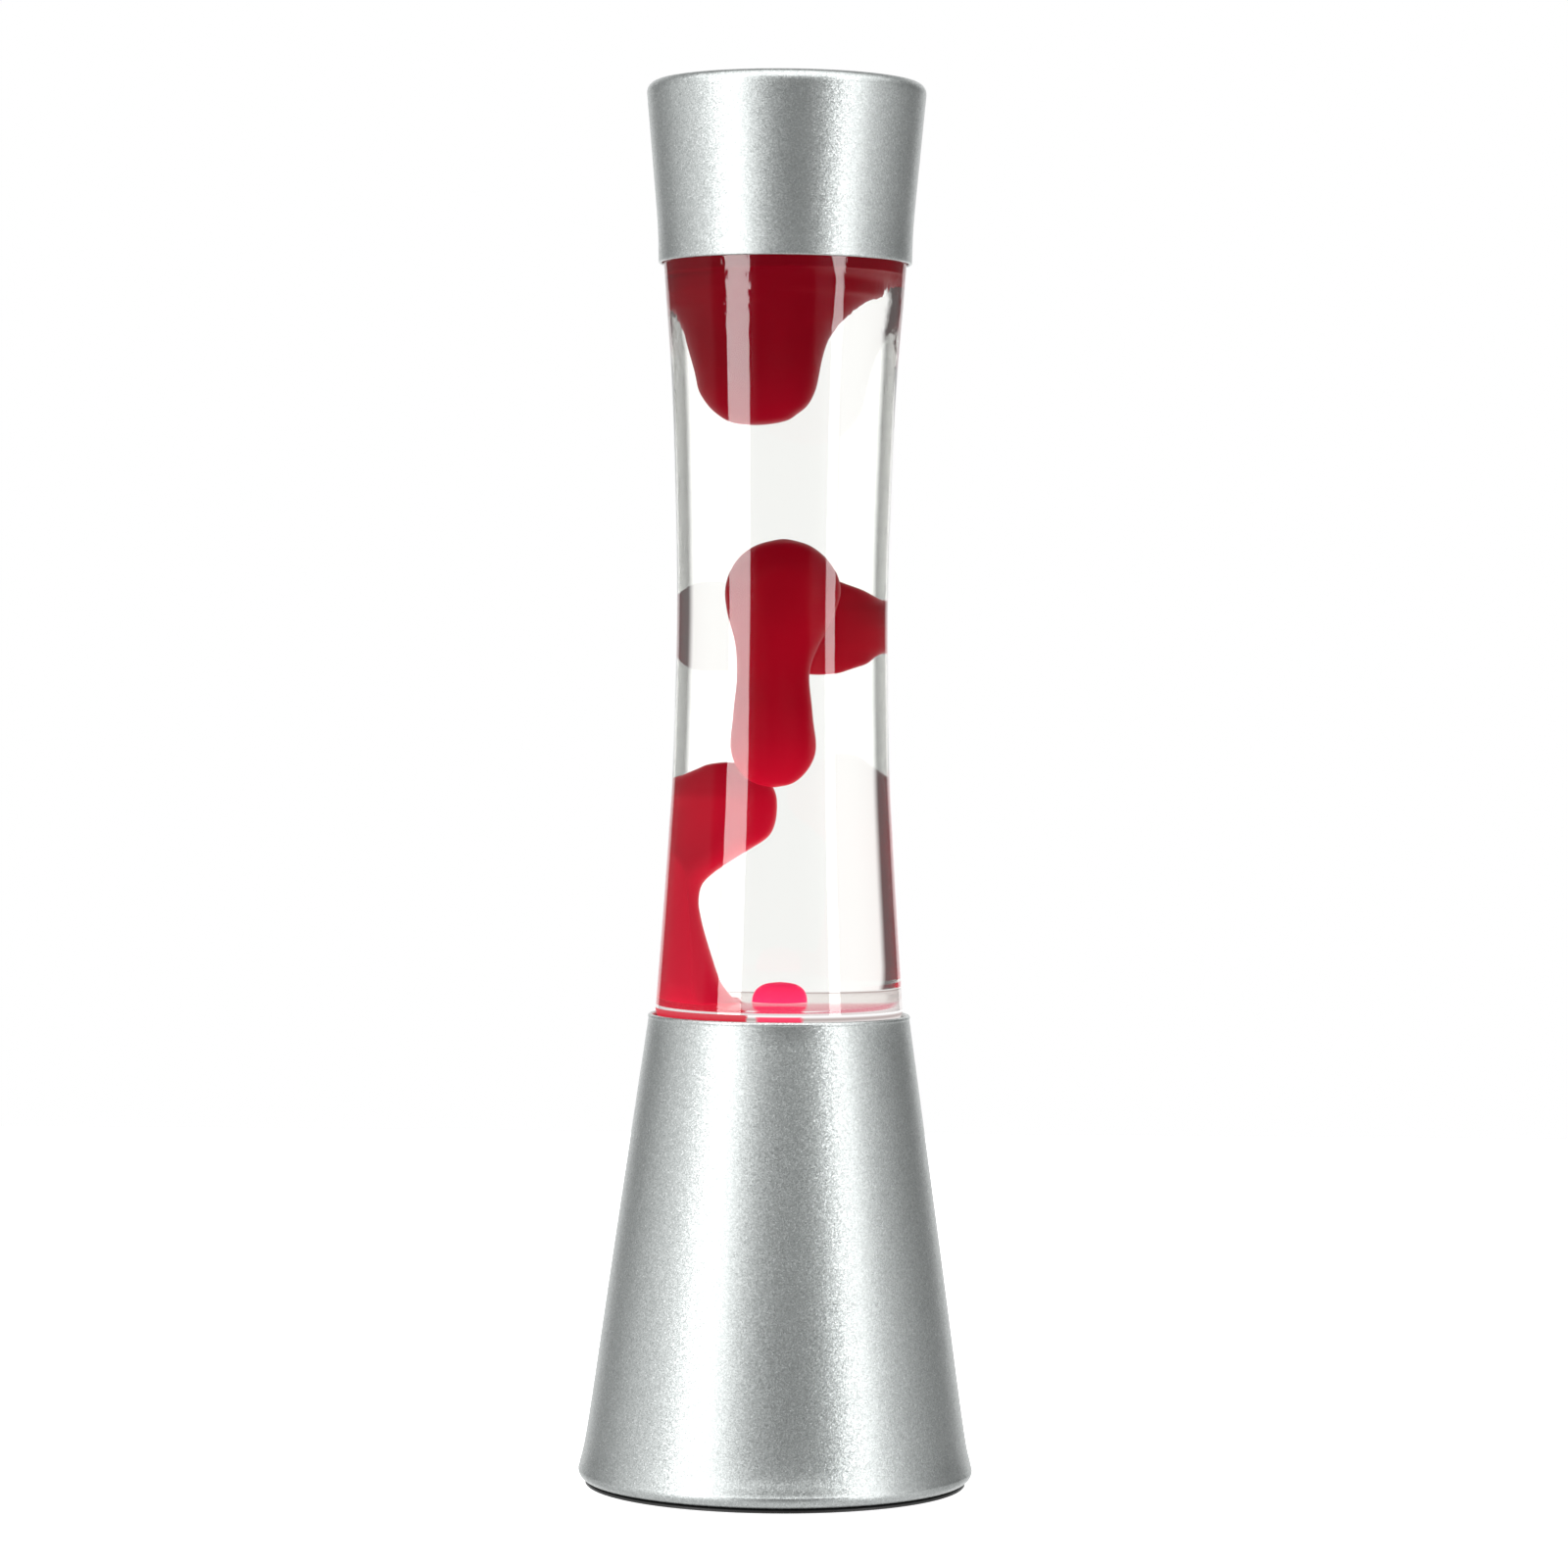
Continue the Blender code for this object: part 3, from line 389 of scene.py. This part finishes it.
SILVER = flake_metal()
STEEL = plain_metal("zinc_steel", (0.62, 0.62, 0.60), 0.32)
BRASS = plain_metal("nickel_brass", (0.74, 0.70, 0.60), 0.25)
TINPLATE = plain_metal("tinplate", (0.74, 0.72, 0.68), 0.22)
REFLECTOR = plain_metal("bulb_silvering", (0.88, 0.88, 0.86), 0.12, 0.000004, (60, 60, 60))
TUNGSTEN = plain_metal("tungsten", (0.35, 0.34, 0.33), 0.5)
BLACK = plastic("black_plastic", (0.012, 0.012, 0.012), 0.42)
RUBBER = plastic("pad_rubber", (0.03, 0.03, 0.03), 0.8, 0.00004, 1500)
SILICONE = plastic("silicone", (0.74, 0.74, 0.71), 0.5)
PHENOLIC = plastic("phenolic", (0.045, 0.036, 0.03), 0.35, 0.00001, 900, 0.2)
CERAMIC = plastic("ceramic", (0.84, 0.83, 0.79), 0.3, 0.00001, 700, 0.3)
BROWN_WIRE = plastic("brown_wire", (0.16, 0.055, 0.02), 0.4)
BLUE_WIRE = plastic("blue_wire", (0.02, 0.10, 0.42), 0.4)
WHITE_PLASTIC = plastic("white_plastic", (0.80, 0.80, 0.78), 0.5)
FOAM = plastic("liner_foam", (0.84, 0.84, 0.82), 0.9, 0.0001, 900)
GLASS = clear_surface("bottle_glass", 1.5, 0.00012)
GLASS_TO_LIQUID = clear_surface("glass_to_liquid", 1.5 / 1.333)
LIQUID_EDGE = clear_surface("liquid_edge", 1.0, 0.0, (0.945, 0.95, 0.925))
LIQUID_TOP = clear_surface("liquid_top", 1.333)
WAX = red_wax("red_wax", WAX_PAINTED_GLOW)
DOME_WAX = red_wax("red_wax_over_bulb", DOME_PAINTED_GLOW)
PAINTED_LIGHT_FOOT = painted_light_foot()
BULB_GLASS = bulb_glass()


# ---------------------------------------------------------------- outlines of the bottle

def bottle_side(steps=10):
    """Outer side of the bottle from above the heel up to the shoulder, an hourglass about its waist."""
    points = [(35.5, 134.0), (33.8, 158.0), (32.1, 184.0), (30.8, 209.0), (30.1, 252.0), (31.1, 293.0),
              (32.3, 318.0), (33.7, 336.0), (34.9, 352.0)]
    return through(points, steps)


def shoulder(wall):
    """Shoulder from the side in to the neck, on the outer line, or with a wall, the inner."""
    edge = 34.9 - wall
    neck = NECK_RADIUS - (NECK_WALL if wall else 0)
    return [*arc(edge - 6, 352.0, 6, 0, 62, 10)[1:],
            (neck + 3.5, 364.5 - wall * 0.6), (neck, 367.5 - wall * 0.4)]


def bottle_inner(inset=0.0):
    """Inside of the bottle from the middle of its floor up to the shoulder, moved in by inset."""
    side = offset(bottle_side(), BOTTLE_WALL + inset)[1:]
    corner = arc(26.6 - inset, BOTTLE_FLOOR_Z + 5.0 + inset, 5.0, -90, -15, 10)
    side = [p for p in side if p[1] > corner[-1][1] + 2]
    return [(0, BOTTLE_FLOOR_Z + inset), *corner, *side, *shoulder(BOTTLE_WALL + inset)]


INNER = bottle_inner(0.15)


# ---------------------------------------------------------------- metal shells

def base_metal():
    """Spun cone: a rolled bead at its mouth and a rounded foot turned in under it."""
    side = through([(37.35, 133.2), (46.6, 68.4), (53.7, 17.7), (FOOT_RADIUS - 0.1, 4.6)], 12)
    bead = arc(36.75, BASE_RIM_Z - 0.75, 0.75, 200, -35, 14)
    foot = arc(FOOT_RADIUS - 3.1, 4.3, 3.1, 2, -90, 12)
    inside = [(r - SHEET, z) for r, z in reversed(side[1:])]
    profile = [*bead, *side, *foot, (49.2, BASE_LOW_Z), (49.2, BASE_LOW_Z + SHEET),
               (FOOT_RADIUS - 3.4, BASE_LOW_Z + SHEET), *inside]
    return turned("base_metal", profile, SILVER, "base", ["base_shell"])


def cap_metal():
    """Flared cap: a thin rolled lip below, a rounded shoulder and a shallow dish on top."""
    side = through([(36.15, CAP_LIP_Z + 0.9), (36.5, 359.6), (37.95, 376.3), (CAP_TOP_RADIUS, 396.6)], 12)
    lip = arc(35.6, CAP_LIP_Z + 0.55, 0.55, 180, 335, 10)
    top = [*arc(CAP_TOP_RADIUS - 3, LAMP_HEIGHT - 3, 3, 8, 90, 12),
           *arc(34.6, LAMP_HEIGHT - 1.4, 1.4, 90, 150, 6),
           *arc(31.9, LAMP_HEIGHT + 0.4, 1.4, 320, 270, 5), (0, LAMP_HEIGHT - 1.0)]
    inside = [(r - SHEET, z) for r, z in reversed(side)]
    profile = [*lip, *side, *top, (0, LAMP_HEIGHT - 2.2), (34.2, LAMP_HEIGHT - 2.2),
               (CAP_TOP_RADIUS - 2.8, LAMP_HEIGHT - 2.6), *inside]
    return turned("cap_metal", profile, SILVER, "cap", ["cap_shell"])


# ---------------------------------------------------------------- bottle, liquid, wax

def glass_bottle():
    heel = [(0, BOTTLE_BOTTOM_Z + 1.0), (26.0, BOTTLE_BOTTOM_Z + 1.0), (28.5, BOTTLE_BOTTOM_Z),
            *arc(28.2, BOTTLE_BOTTOM_Z + HEEL, HEEL, -84, -5, 20)]
    neck = [(NECK_RADIUS, NECK_TOP_Z - 0.4), (NECK_RADIUS - 0.4, NECK_TOP_Z),
            (NECK_RADIUS - NECK_WALL + 0.4, NECK_TOP_Z), (NECK_RADIUS - NECK_WALL, NECK_TOP_Z - 0.4)]
    side = [p for p in bottle_side() if p[1] > heel[-1][1] + 1]
    outside = [*heel, *side, *shoulder(0), *neck]
    inside = bottle_inner(0)[::-1]
    profile = [*outside, *inside]
    slots = []
    for i in range(len(profile) - 1):
        wet = i >= len(outside) and profile[i][1] <= WAX_TOP_Z
        # faces under the heel take the foot material, whose glow and colours are painted light
        under = i + 1 < len(heel)
        slots.append(2 if under else 1 if wet else 0)
    bm = turned_bmesh(profile, ROUND, slots)
    glass = new_piece("bottle", bm, [GLASS, GLASS_TO_LIQUID, PAINTED_LIGHT_FOOT], "bottle",
                      ["glass_bottle"], 50)
    glass.visible_shadow = False
    return glass


def liquid_body():
    below = [p for p in INNER if p[1] < LIQUID_TOP_Z]
    profile = [*below, (level_radius(INNER, LIQUID_TOP_Z), LIQUID_TOP_Z), (0, LIQUID_TOP_Z)]
    slots = [0] * (len(profile) - 2) + [1]
    bm = turned_bmesh(profile, ROUND, slots)
    liquid = new_piece("clear_liquid", bm, [LIQUID_EDGE, LIQUID_TOP], "bottle",
                       ["liquid"], 50)
    liquid.visible_shadow = False
    return liquid


WAX_SECTIONS = {
    "wax_top": [(302.6, -6.2, 0, 0, 0), (303.1, -6.2, 0, 4.0, 4.2), (304.2, -5.7, 0, 6.7, 7.0),
                (306.0, -5.8, 0, 8.6, 8.8), (308.5, -5.8, 0, 10.6, 10.8), (312.8, -6.1, 0, 12.5, 12.8),
                (317.5, -6.1, 0, 13.5, 14.0), (324.0, -6.1, 0, 14.7, 15.5), (329.4, -5.8, 0, 16.1, 17.0),
                (333.8, -5.2, 0, 18.1, 19.0), (337.0, -4.9, 0, 20.3, 21.0), (339.0, -5.5, 0, 23.3, 23.0),
                (340.5, -5.0, 0, 26.0, 25.0), (343.5, -4.5, 0, 27.0, 28.0), (345.5, -1.5, 0, 29.5, 31.0),
                (348.0, 0, 0, 37.0, 37.0), (364.0, 0, 0, 37.0, 37.0), (365.0, 0, 0, 0, 0)],
    "wax_middle": [(199.4, -1.8, -13, 0, 0), (200.9, -1.8, -13, 5.2, 5.0), (205.5, -1.9, -13, 9.0, 8.4),
                   (212.0, -2.0, -13.5, 10.7, 10.0), (221.0, -2.2, -14, 9.8, 9.2),
                   (231.0, -2.2, -14.5, 9.0, 8.6), (239.0, -1.4, -15, 10.3, 10.0),
                   (248.0, -0.3, -15, 13.4, 12.4), (256.0, 0.1, -15, 14.8, 13.2), (263.0, 0, -15, 12.2, 11.4),
                   (268.0, 0.1, -15, 7.0, 6.8), (270.2, 0.2, -15, 0, 0)],
    "wax_side": [(231.3, 6.5, 14.5, 0, 0), (231.8, 6.8, 14.5, 3.2, 2.6), (233.0, 7.2, 14.5, 5.0, 4.2),
                 (234.7, 8.0, 14.5, 6.8, 5.6), (236.7, 8.4, 14.5, 7.5, 6.8), (238.6, 8.8, 14.5, 8.4, 7.6),
                 (241.5, 10.8, 14.5, 10.2, 8.2), (245.5, 12.5, 14.5, 12.2, 8.6),
                 (249.5, 11.0, 14.5, 10.5, 8.3), (252.4, 9.2, 14.5, 8.0, 7.4), (254.4, 8.4, 14.5, 7.3, 6.6),
                 (256.2, 7.6, 14.5, 6.4, 5.4), (257.6, 6.8, 14.5, 5.0, 4.2), (258.8, 6.4, 14.5, 3.4, 2.6),
                 (259.4, 6.2, 14.5, 0, 0)],
    "wax_lower": [(206.2, -10.6, 8, 0, 0), (205.8, -10.6, 8, 2.2, 2.0), (205.2, -11.2, 8, 3.5, 3.2),
                  (204.0, -11.2, 8, 5.3, 4.8), (202.4, -11.5, 8, 7.5, 6.6), (200.9, -12.0, 8, 9.3, 8.2),
                  (199.6, -12.6, 8, 10.9, 9.6), (196.7, -14.2, 7.5, 13.4, 11.5),
                  (193.0, -14.3, 7, 13.7, 12.5), (188.5, -15.0, 6, 13.9, 13.6),
                  (184.6, -16.4, 5, 13.8, 14.8), (181.2, -19.0, 4, 12.6, 15.8),
                  (177.2, -23.5, 3, 12.2, 17.4), (174.6, -26.8, 2.5, 12.4, 18.6),
                  (171.3, -29.3, 1.9, 12.1, 19.7), (166.8, -30.5, 1, 12.3, 20.9),
                  (162.3, -30.4, 0.5, 12.6, 21.8), (156.0, -30.2, 0, 13.8, 22.5),
                  (145.0, -28.6, 0, 15.3, 23.0), (139.0, -26.0, 0, 15.3, 22.3),
                  (135.5, -24.5, 0, 15.6, 21.0), (131.0, -24.5, 0, 15.0, 20.0), (130.5, -25.0, 0, 0, 0)],
    "wax_dome": [(143.9, 0.2, -4, 0, 0), (143.2, 0.2, -4, 3.1, 3.1), (141.5, 0.2, -4, 5.0, 5.0),
                 (139.0, 0.2, -4, 6.0, 6.0), (136.4, 0.2, -4, 6.2, 6.2), (133.0, 0.2, -4, 5.9, 5.9),
                 (132.5, 0.2, -4, 0, 0)],
}


WAX_LIMIT = bottle_inner(0.3)


def held_in(co, ceiling):
    """A wax vertex kept inside the bottle, just off the wall, floor and level top."""
    co.z = min(max(co.z, BOTTLE_FLOOR_Z + 0.25), ceiling)
    limit = level_radius(WAX_LIMIT, co.z)
    radius = math.hypot(co.x, co.y)
    if radius > limit:
        co.x *= limit / radius
        co.y *= limit / radius


def wax_blob(name, sections, material):
    """Smooth blob through its sections, pressed flat where it meets the glass."""
    segments = 72
    bm = bmesh.new()
    rings = []
    smooth = through(sections, 8)
    for i, (z, x, y, rx, ry) in enumerate(smooth):
        if i in (0, len(smooth) - 1):
            rings.append([bm.verts.new((x, y, z))])
            continue
        turns = [2 * math.pi * k / segments for k in range(segments)]
        rings.append([bm.verts.new((x + rx * math.cos(t), y + ry * math.sin(t), z)) for t in turns])
    for first, second in zip(rings, rings[1:]):
        for i in range(segments):
            j = (i + 1) % segments
            corners = [first[i % len(first)], first[j % len(first)],
                       second[j % len(second)], second[i % len(second)]]
            bm.faces.new(list(dict.fromkeys(corners)))
    for v in bm.verts:
        swell = noise.noise(v.co * 0.09 + Vector((0, 0, sum(map(ord, name)))))
        outwards = Vector((v.co.x - sections[0][1], v.co.y - sections[0][2], 0))
        if outwards.length > 1:
            v.co += outwards.normalized() * swell * 0.5
    for _ in range(5):
        bmesh.ops.smooth_vert(bm, verts=bm.verts, factor=0.5, use_axis_x=True, use_axis_y=True,
                              use_axis_z=True)
        for v in bm.verts:
            held_in(v.co, WAX_TOP_Z)
    return new_piece(f"{name}_body", bm, [material], "bottle", [name], 60)


# ---------------------------------------------------------------- small pieces

def bottom_plate():
    """Moulded plate: a rim that shows under the base, ribs, and the vents and screw holes."""
    rim = PLATE_RADIUS
    profile = [(0, 1.2), (16, 1.2), (16.4, 0.9), (17.6, 0.9), (18, 1.2), (47.4, 1.2), (47.7, 0),
               (rim - 0.3, 0), (rim, 0.25), (rim, 0.75), (rim - 0.2, 0.9), (48.9, 0.9), (48.9, 2.4), (0, 2.4)]
    plate = turned("base_plate", profile, BLACK, "base", ["bottom_plate"], 128)
    cutters = bmesh.new()
    for i in range(8):
        turn = Matrix.Rotation(2 * math.pi * (i + 0.5) / 8, 4, "Z")
        bmesh.ops.create_cube(cutters, size=1.0, matrix=turn @ Matrix.Translation((25, 0, 2))
                              @ Matrix.Diagonal((13, 2.6, 6, 1)))
    for side in (-1, 1):
        bmesh.ops.create_cone(cutters, cap_ends=True, segments=32, radius1=1.7, radius2=1.7, depth=8,
                              matrix=Matrix.Translation((44 * side, 0, 2)))
    mesh = bpy.data.meshes.new("plate_cutters")
    bmesh.ops.scale(cutters, vec=(MM, MM, MM), verts=cutters.verts)
    cutters.to_mesh(mesh)
    cutters.free()
    cutter = bpy.data.objects.new("plate_cutters", mesh)
    bpy.context.scene.collection.objects.link(cutter)
    cut = plate.modifiers.new("vents", "BOOLEAN")
    cut.object = cutter
    cut.solver = "EXACT"
    bpy.context.view_layer.update()
    graph = bpy.context.evaluated_depsgraph_get()
    final = bpy.data.meshes.new_from_object(plate.evaluated_get(graph), depsgraph=graph)
    plate.modifiers.clear()
    plate.data = final
    bpy.data.objects.remove(cutter)
    return plate


def cord_gland():
    """Bush for the mains lead, square to the base's wall, where the CAD gland is."""
    box_low, box_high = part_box("cord_gland")
    centre = (box_low + box_high) / 2
    azimuth = math.atan2(centre.y, centre.x)
    lean = math.atan(SIDE_SLOPE)
    out = Vector((math.cos(azimuth), math.sin(azimuth), 0))
    direction = (out * math.cos(lean) + Vector((0, 0, math.sin(lean)))).normalized()
    profile = [(3.1, -5.4), (4.0, -5.4), (4.3, -4.9), (4.3, 4.0), (5.75, 4.0), (6.0, 4.25), (6.0, 4.9),
               *arc(5.2, 4.9, 0.8, 0, 90, 6), (4.2, 5.7), (3.5, 5.3), (3.1, 4.6)]
    bm = turned_bmesh(profile, 96)
    place = Matrix.Translation(centre / MM) @ direction.to_track_quat("Z", "Y").to_matrix().to_4x4()
    bmesh.ops.transform(bm, matrix=place, verts=bm.verts)
    return new_piece("gland", bm, [BLACK], "base", ["cord_gland"])


def reflector_bulb():
    """R39 bulb: silvered cone, frosted dome, nickel cap with its thread."""
    z = low("bulb_contact").z
    neck = [(5.6, z + 20.6), (5.6, z + 25.0), (8.6, z + 30.0), (14.2, z + 39.0), (18.2, z + 48.5)]
    outer = [*through(neck, 8), *arc(BULB_RADIUS - 6, z + 55.5, 6, -10, 65, 12),
             *arc(0, BULB_TIP_Z - 52, 52, 78, 90, 5)]
    inner = [(max(r - 0.7, 0), h - (0.7 if h > z + 56 else 0)) for r, h in reversed(outer)]
    inner[0] = (0, outer[-1][1] - 0.7)
    outer[-1] = (0, outer[-1][1])
    profile = [*outer, *inner]
    slots = [0 if profile[i][1] > z + 55.0 else 1 for i in range(len(profile))]
    bm = turned_bmesh(profile, 96, slots)
    new_piece("bulb_bowl", bm, [BULB_GLASS, REFLECTOR], "bulb", ["bulb_envelope"], 50)
    thread = []
    turns, pitch = 5, 2.82
    for i in range(turns * 10 + 1):
        h = z + 4.9 + pitch * i / 10
        thread.append((6.7 + 0.23 * math.cos(2 * math.pi * i / 10 + math.pi), h))
    cap = [(0, z + 4.4), (6.0, z + 4.4), *thread, (6.5, z + 20.0), (6.55, z + 22.6), (6.95, z + 23.4),
           (6.6, z + 23.4), (6.2, z + 20.0), (6.1, z + 5.0), (0, z + 5.0)]
    turned("bulb_cap", cap, BRASS, "bulb", ["bulb_screw_cap"], 96)


def finish_cad_nodes():
    """Gives each CAD node that stays in view its own procedural material."""
    finishes = {
        "seat_ring": STEEL, "seat_cushion": SILICONE, "holder_bracket": STEEL, "bottom_screw_1": STEEL,
        "bottom_screw_2": STEEL, "nipple": STEEL, "nipple_nut_lower": STEEL, "nipple_nut_upper": STEEL,
        "anti_slip_pad_1": RUBBER, "anti_slip_pad_2": RUBBER, "anti_slip_pad_3": RUBBER, "gland_nut": BLACK,
        "thread_sleeve": BRASS, "bulb_contact": BRASS, "centre_contact": BRASS, "lampholder_base": PHENOLIC,
        "lampholder_shell": PHENOLIC, "terminal_block": CERAMIC, "bulb_insulator": CERAMIC,
        "live_lead": BROWN_WIRE, "neutral_lead": BLUE_WIRE, "bulb_stem": REFLECTOR, "bulb_filament": TUNGSTEN,
        "bottle_closure": TINPLATE, "closure_liner": FOAM, "cap_sleeve": WHITE_PLASTIC,
    }
    for name, material in finishes.items():
        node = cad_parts[name]
        node.data.materials.clear()
        node.data.materials.append(material)


# ---------------------------------------------------------------- studio

def turn_ramp(tree, turn, stops):
    """Brightness by turn in degrees from the camera's side, negative to the left, 180 behind the lamp."""
    node = tree.nodes.new("ShaderNodeValToRGB")
    tree.links.new(turn, node.inputs["Fac"])
    elements = node.color_ramp.elements
    while len(elements) < len(stops):
        elements.new(0.5)
    for element, (degrees, value) in zip(elements, stops):
        element.position = (degrees + 180) / 360
        element.color = (value, value, value, 1.0)
    return node.outputs["Color"]


def studio_world():
    """Light round the lamp by turn, with its own brightness for each kind of ray.

    The camera sees plain white. upper and lower light satin metal from level and from below, mirror is what
    clear glass reflects, and through_glass is what shows through the bottle.
    """
    world = bpy.data.worlds.new("studio")
    world.use_nodes = True
    tree = world.node_tree
    tree.nodes.clear()
    add = tree.nodes.new
    link = tree.links.new
    direction = add("ShaderNodeTexCoord")
    split = add("ShaderNodeSeparateXYZ")
    link(direction.outputs["Generated"], split.inputs["Vector"])
    toward = add("ShaderNodeMath")
    toward.operation = "MULTIPLY"
    toward.inputs[1].default_value = -1.0
    link(split.outputs["Y"], toward.inputs[0])
    angle = add("ShaderNodeMath")
    angle.operation = "ARCTAN2"
    link(split.outputs["X"], angle.inputs[0])
    link(toward.outputs["Value"], angle.inputs[1])
    turn = add("ShaderNodeMapRange")
    turn.inputs["From Min"].default_value = -math.pi
    turn.inputs["From Max"].default_value = math.pi
    link(angle.outputs["Value"], turn.inputs["Value"])
    turn = turn.outputs["Result"]
    rays = add("ShaderNodeLightPath")

    def mix(factor, first, second):
        node = add("ShaderNodeMix")
        node.data_type = "RGBA"
        sockets = (node.inputs["Factor"], node.inputs[6], node.inputs[7])
        for socket, value in zip(sockets, (factor, first, second)):
            if isinstance(value, bpy.types.NodeSocket):
                link(value, socket)
            else:
                socket.default_value = value
        return node.outputs[2]

    upper = turn_ramp(tree, turn, [
        (-180, 1.3), (-152, 1.3), (-144, 0.10), (-115, 0.36), (-92, 0.86), (-66, 1.12), (-38, 1.15),
        (-27, 1.10), (-14, 0.18), (0, 0.06), (25, 0.07), (40, 0.26), (60, 0.64), (80, 0.56), (100, 0.24),
        (144, 0.09), (152, 1.3), (180, 1.3)])
    lower = turn_ramp(tree, turn, [
        (-180, 1.3), (-152, 1.3), (-144, 0.35), (-115, 0.65), (-92, 1.00), (-66, 1.00), (-38, 1.20),
        (-27, 1.00), (-15, 0.35), (0, 0.14), (25, 0.18), (40, 0.55), (65, 1.05), (92, 0.85), (115, 0.50),
        (144, 0.42), (152, 1.3), (180, 1.3)])
    share = []
    below, steep_down, overhead = (0.06, -0.14), (-0.35, -0.75), (0.35, 0.6)
    for start, full in (below, steep_down, overhead):
        node = add("ShaderNodeMapRange")
        node.inputs["From Min"].default_value = start
        node.inputs["From Max"].default_value = full
        link(split.outputs["Z"], node.inputs["Value"])
        share.append(node.outputs["Result"])
    satin = mix(share[0], upper, lower)
    satin = mix(share[1], satin, (0.8, 0.8, 0.8, 1))
    above = add("ShaderNodeValToRGB")
    link(split.outputs["Y"], above.inputs["Fac"])
    above.color_ramp.elements[0].color = (2.0, 2.0, 2.0, 1)
    above.color_ramp.elements[0].position = 0.0
    above.color_ramp.elements[1].color = (0.25, 0.25, 0.25, 1)
    above.color_ramp.elements[1].position = 0.35
    satin = mix(share[2], satin, above.outputs["Color"])
    mirror = turn_ramp(tree, turn, [
        (-180, 1.0), (-155, 1.0), (-152, 0.12), (-120, 0.16), (-78, 0.24), (-72, 0.05), (-30, 0.006),
        (0, 0.003), (40, 0.004), (75, 0.10), (152, 0.10), (155, 1.0), (180, 1.0)])
    through_glass = turn_ramp(tree, turn, [
        (-180, 1.03), (-171, 1.03), (-165, 1.13), (-146, 1.13), (-141, 0.12), (-100, 0.12), (-64, 0.25),
        (-60, 3.6), (-33, 3.6), (-29, 0.3), (29, 0.3), (33, 3.2), (48, 3.2), (52, 0.3), (100, 0.12),
        (141, 0.16), (146, 1.13), (165, 1.13), (171, 1.03), (180, 1.03)])
    colour = mix(rays.outputs["Is Diffuse Ray"], (0.45, 0.45, 0.45, 1), (0.75, 0.75, 0.75, 1))
    shiny = mix(rays.outputs["Is Singular Ray"], satin, mirror)
    colour = mix(rays.outputs["Is Glossy Ray"], colour, shiny)
    colour = mix(rays.outputs["Is Transmission Ray"], colour, through_glass)
    colour = mix(rays.outputs["Is Camera Ray"], colour, (1, 1, 1, 1))
    background = add("ShaderNodeBackground")
    output = add("ShaderNodeOutputWorld")
    link(colour, background.inputs["Color"])
    link(background.outputs["Background"], output.inputs["Surface"])
    bpy.context.scene.world = world


def softbox(name, turn_from, turn_to, soft, mirrored):
    """Upright soft light between two turns in degrees from the camera's side, negative to the left.

    soft is its brightness on satin and matt surfaces, mirrored its brightness in clear glass.
    """
    distance = 2.0
    middle = math.radians((turn_from + turn_to) / 2)
    half = distance * math.tan(math.radians((turn_to - turn_from) / 2))
    outward = Vector((math.sin(middle), -math.cos(middle), 0))
    across = Vector((outward.y, -outward.x, 0))
    bm = bmesh.new()
    foot, head = -0.9, 1.9
    corners = [(-half, foot), (half, foot), (half, head), (-half, head)]
    places = [outward * distance + across * a + Vector((0, 0, z)) for a, z in corners]
    bm.faces.new([bm.verts.new(place / MM) for place in places])
    n = Nodes(name)
    singular = n.add("ShaderNodeLightPath").outputs["Is Singular Ray"]
    emission = n.add("ShaderNodeEmission", {"Strength": n.remap(singular, 0.0, 1.0, soft, mirrored)})
    n.tree.links.new(emission.outputs["Emission"], n.output.inputs["Surface"])
    piece = new_piece(name, bm, [n.material], None)
    piece.visible_camera = False
    piece.visible_transmission = False


def lights():
    softbox("left_softbox", -59, -35.5, 3.3, 8.5)
    softbox("right_softbox", 47.5, 58.5, 5.0, 8.0)


def floor():
    bm = bmesh.new()
    bmesh.ops.create_grid(bm, x_segments=8, y_segments=8, size=1100)
    n = Nodes("pale_floor")
    cloud = n.noise(n.scaled(2, 2, 2), 1.0, 2.0)
    n.set(Base_Color=n.ramp(cloud, [(0.3, (0.86, 0.86, 0.86)), (0.7, (0.88, 0.88, 0.88))]), Roughness=0.9,
          Emission_Color=(1, 1, 1, 1), Emission_Strength=1.0)
    piece = new_piece("floor", bm, [n.material], None)
    piece.location.z = -0.0002
    piece.visible_glossy = False
    piece.visible_transmission = False


def camera():
    """A long lens a little above the lamp's middle, tilted down slightly and leaning a little."""
    pitch, roll, yaw = 0.0232, 0.0085, 0.0006
    forward = Vector((math.sin(yaw) * math.cos(pitch), math.cos(yaw) * math.cos(pitch), -math.sin(pitch)))
    level_right = Vector((math.cos(yaw), -math.sin(yaw), 0))
    level_up = level_right.cross(forward)
    right = level_right * math.cos(roll) + level_up * math.sin(roll)
    up = -level_right * math.sin(roll) + level_up * math.cos(roll)
    data = bpy.data.cameras.new("camera")
    data.lens = 118.05
    data.sensor_width = 36.0
    obj = bpy.data.objects.new("camera", data)
    basis = Matrix((right, up, -forward)).transposed().to_4x4()
    obj.matrix_world = Matrix.Translation((0, -1.46906, 0.23442)) @ basis
    bpy.context.scene.collection.objects.link(obj)
    bpy.context.scene.camera = obj


camera()
base_metal()
cap_metal()
glass_bottle()
liquid_body()
for wax_name, wax_sections in WAX_SECTIONS.items():
    wax_blob(wax_name, wax_sections, DOME_WAX if wax_name == "wax_dome" else WAX)
bottom_plate()
cord_gland()
reflector_bulb()
finish_cad_nodes()
studio_world()
lights()
floor()
bpy.context.scene.view_settings.view_transform = "Standard"
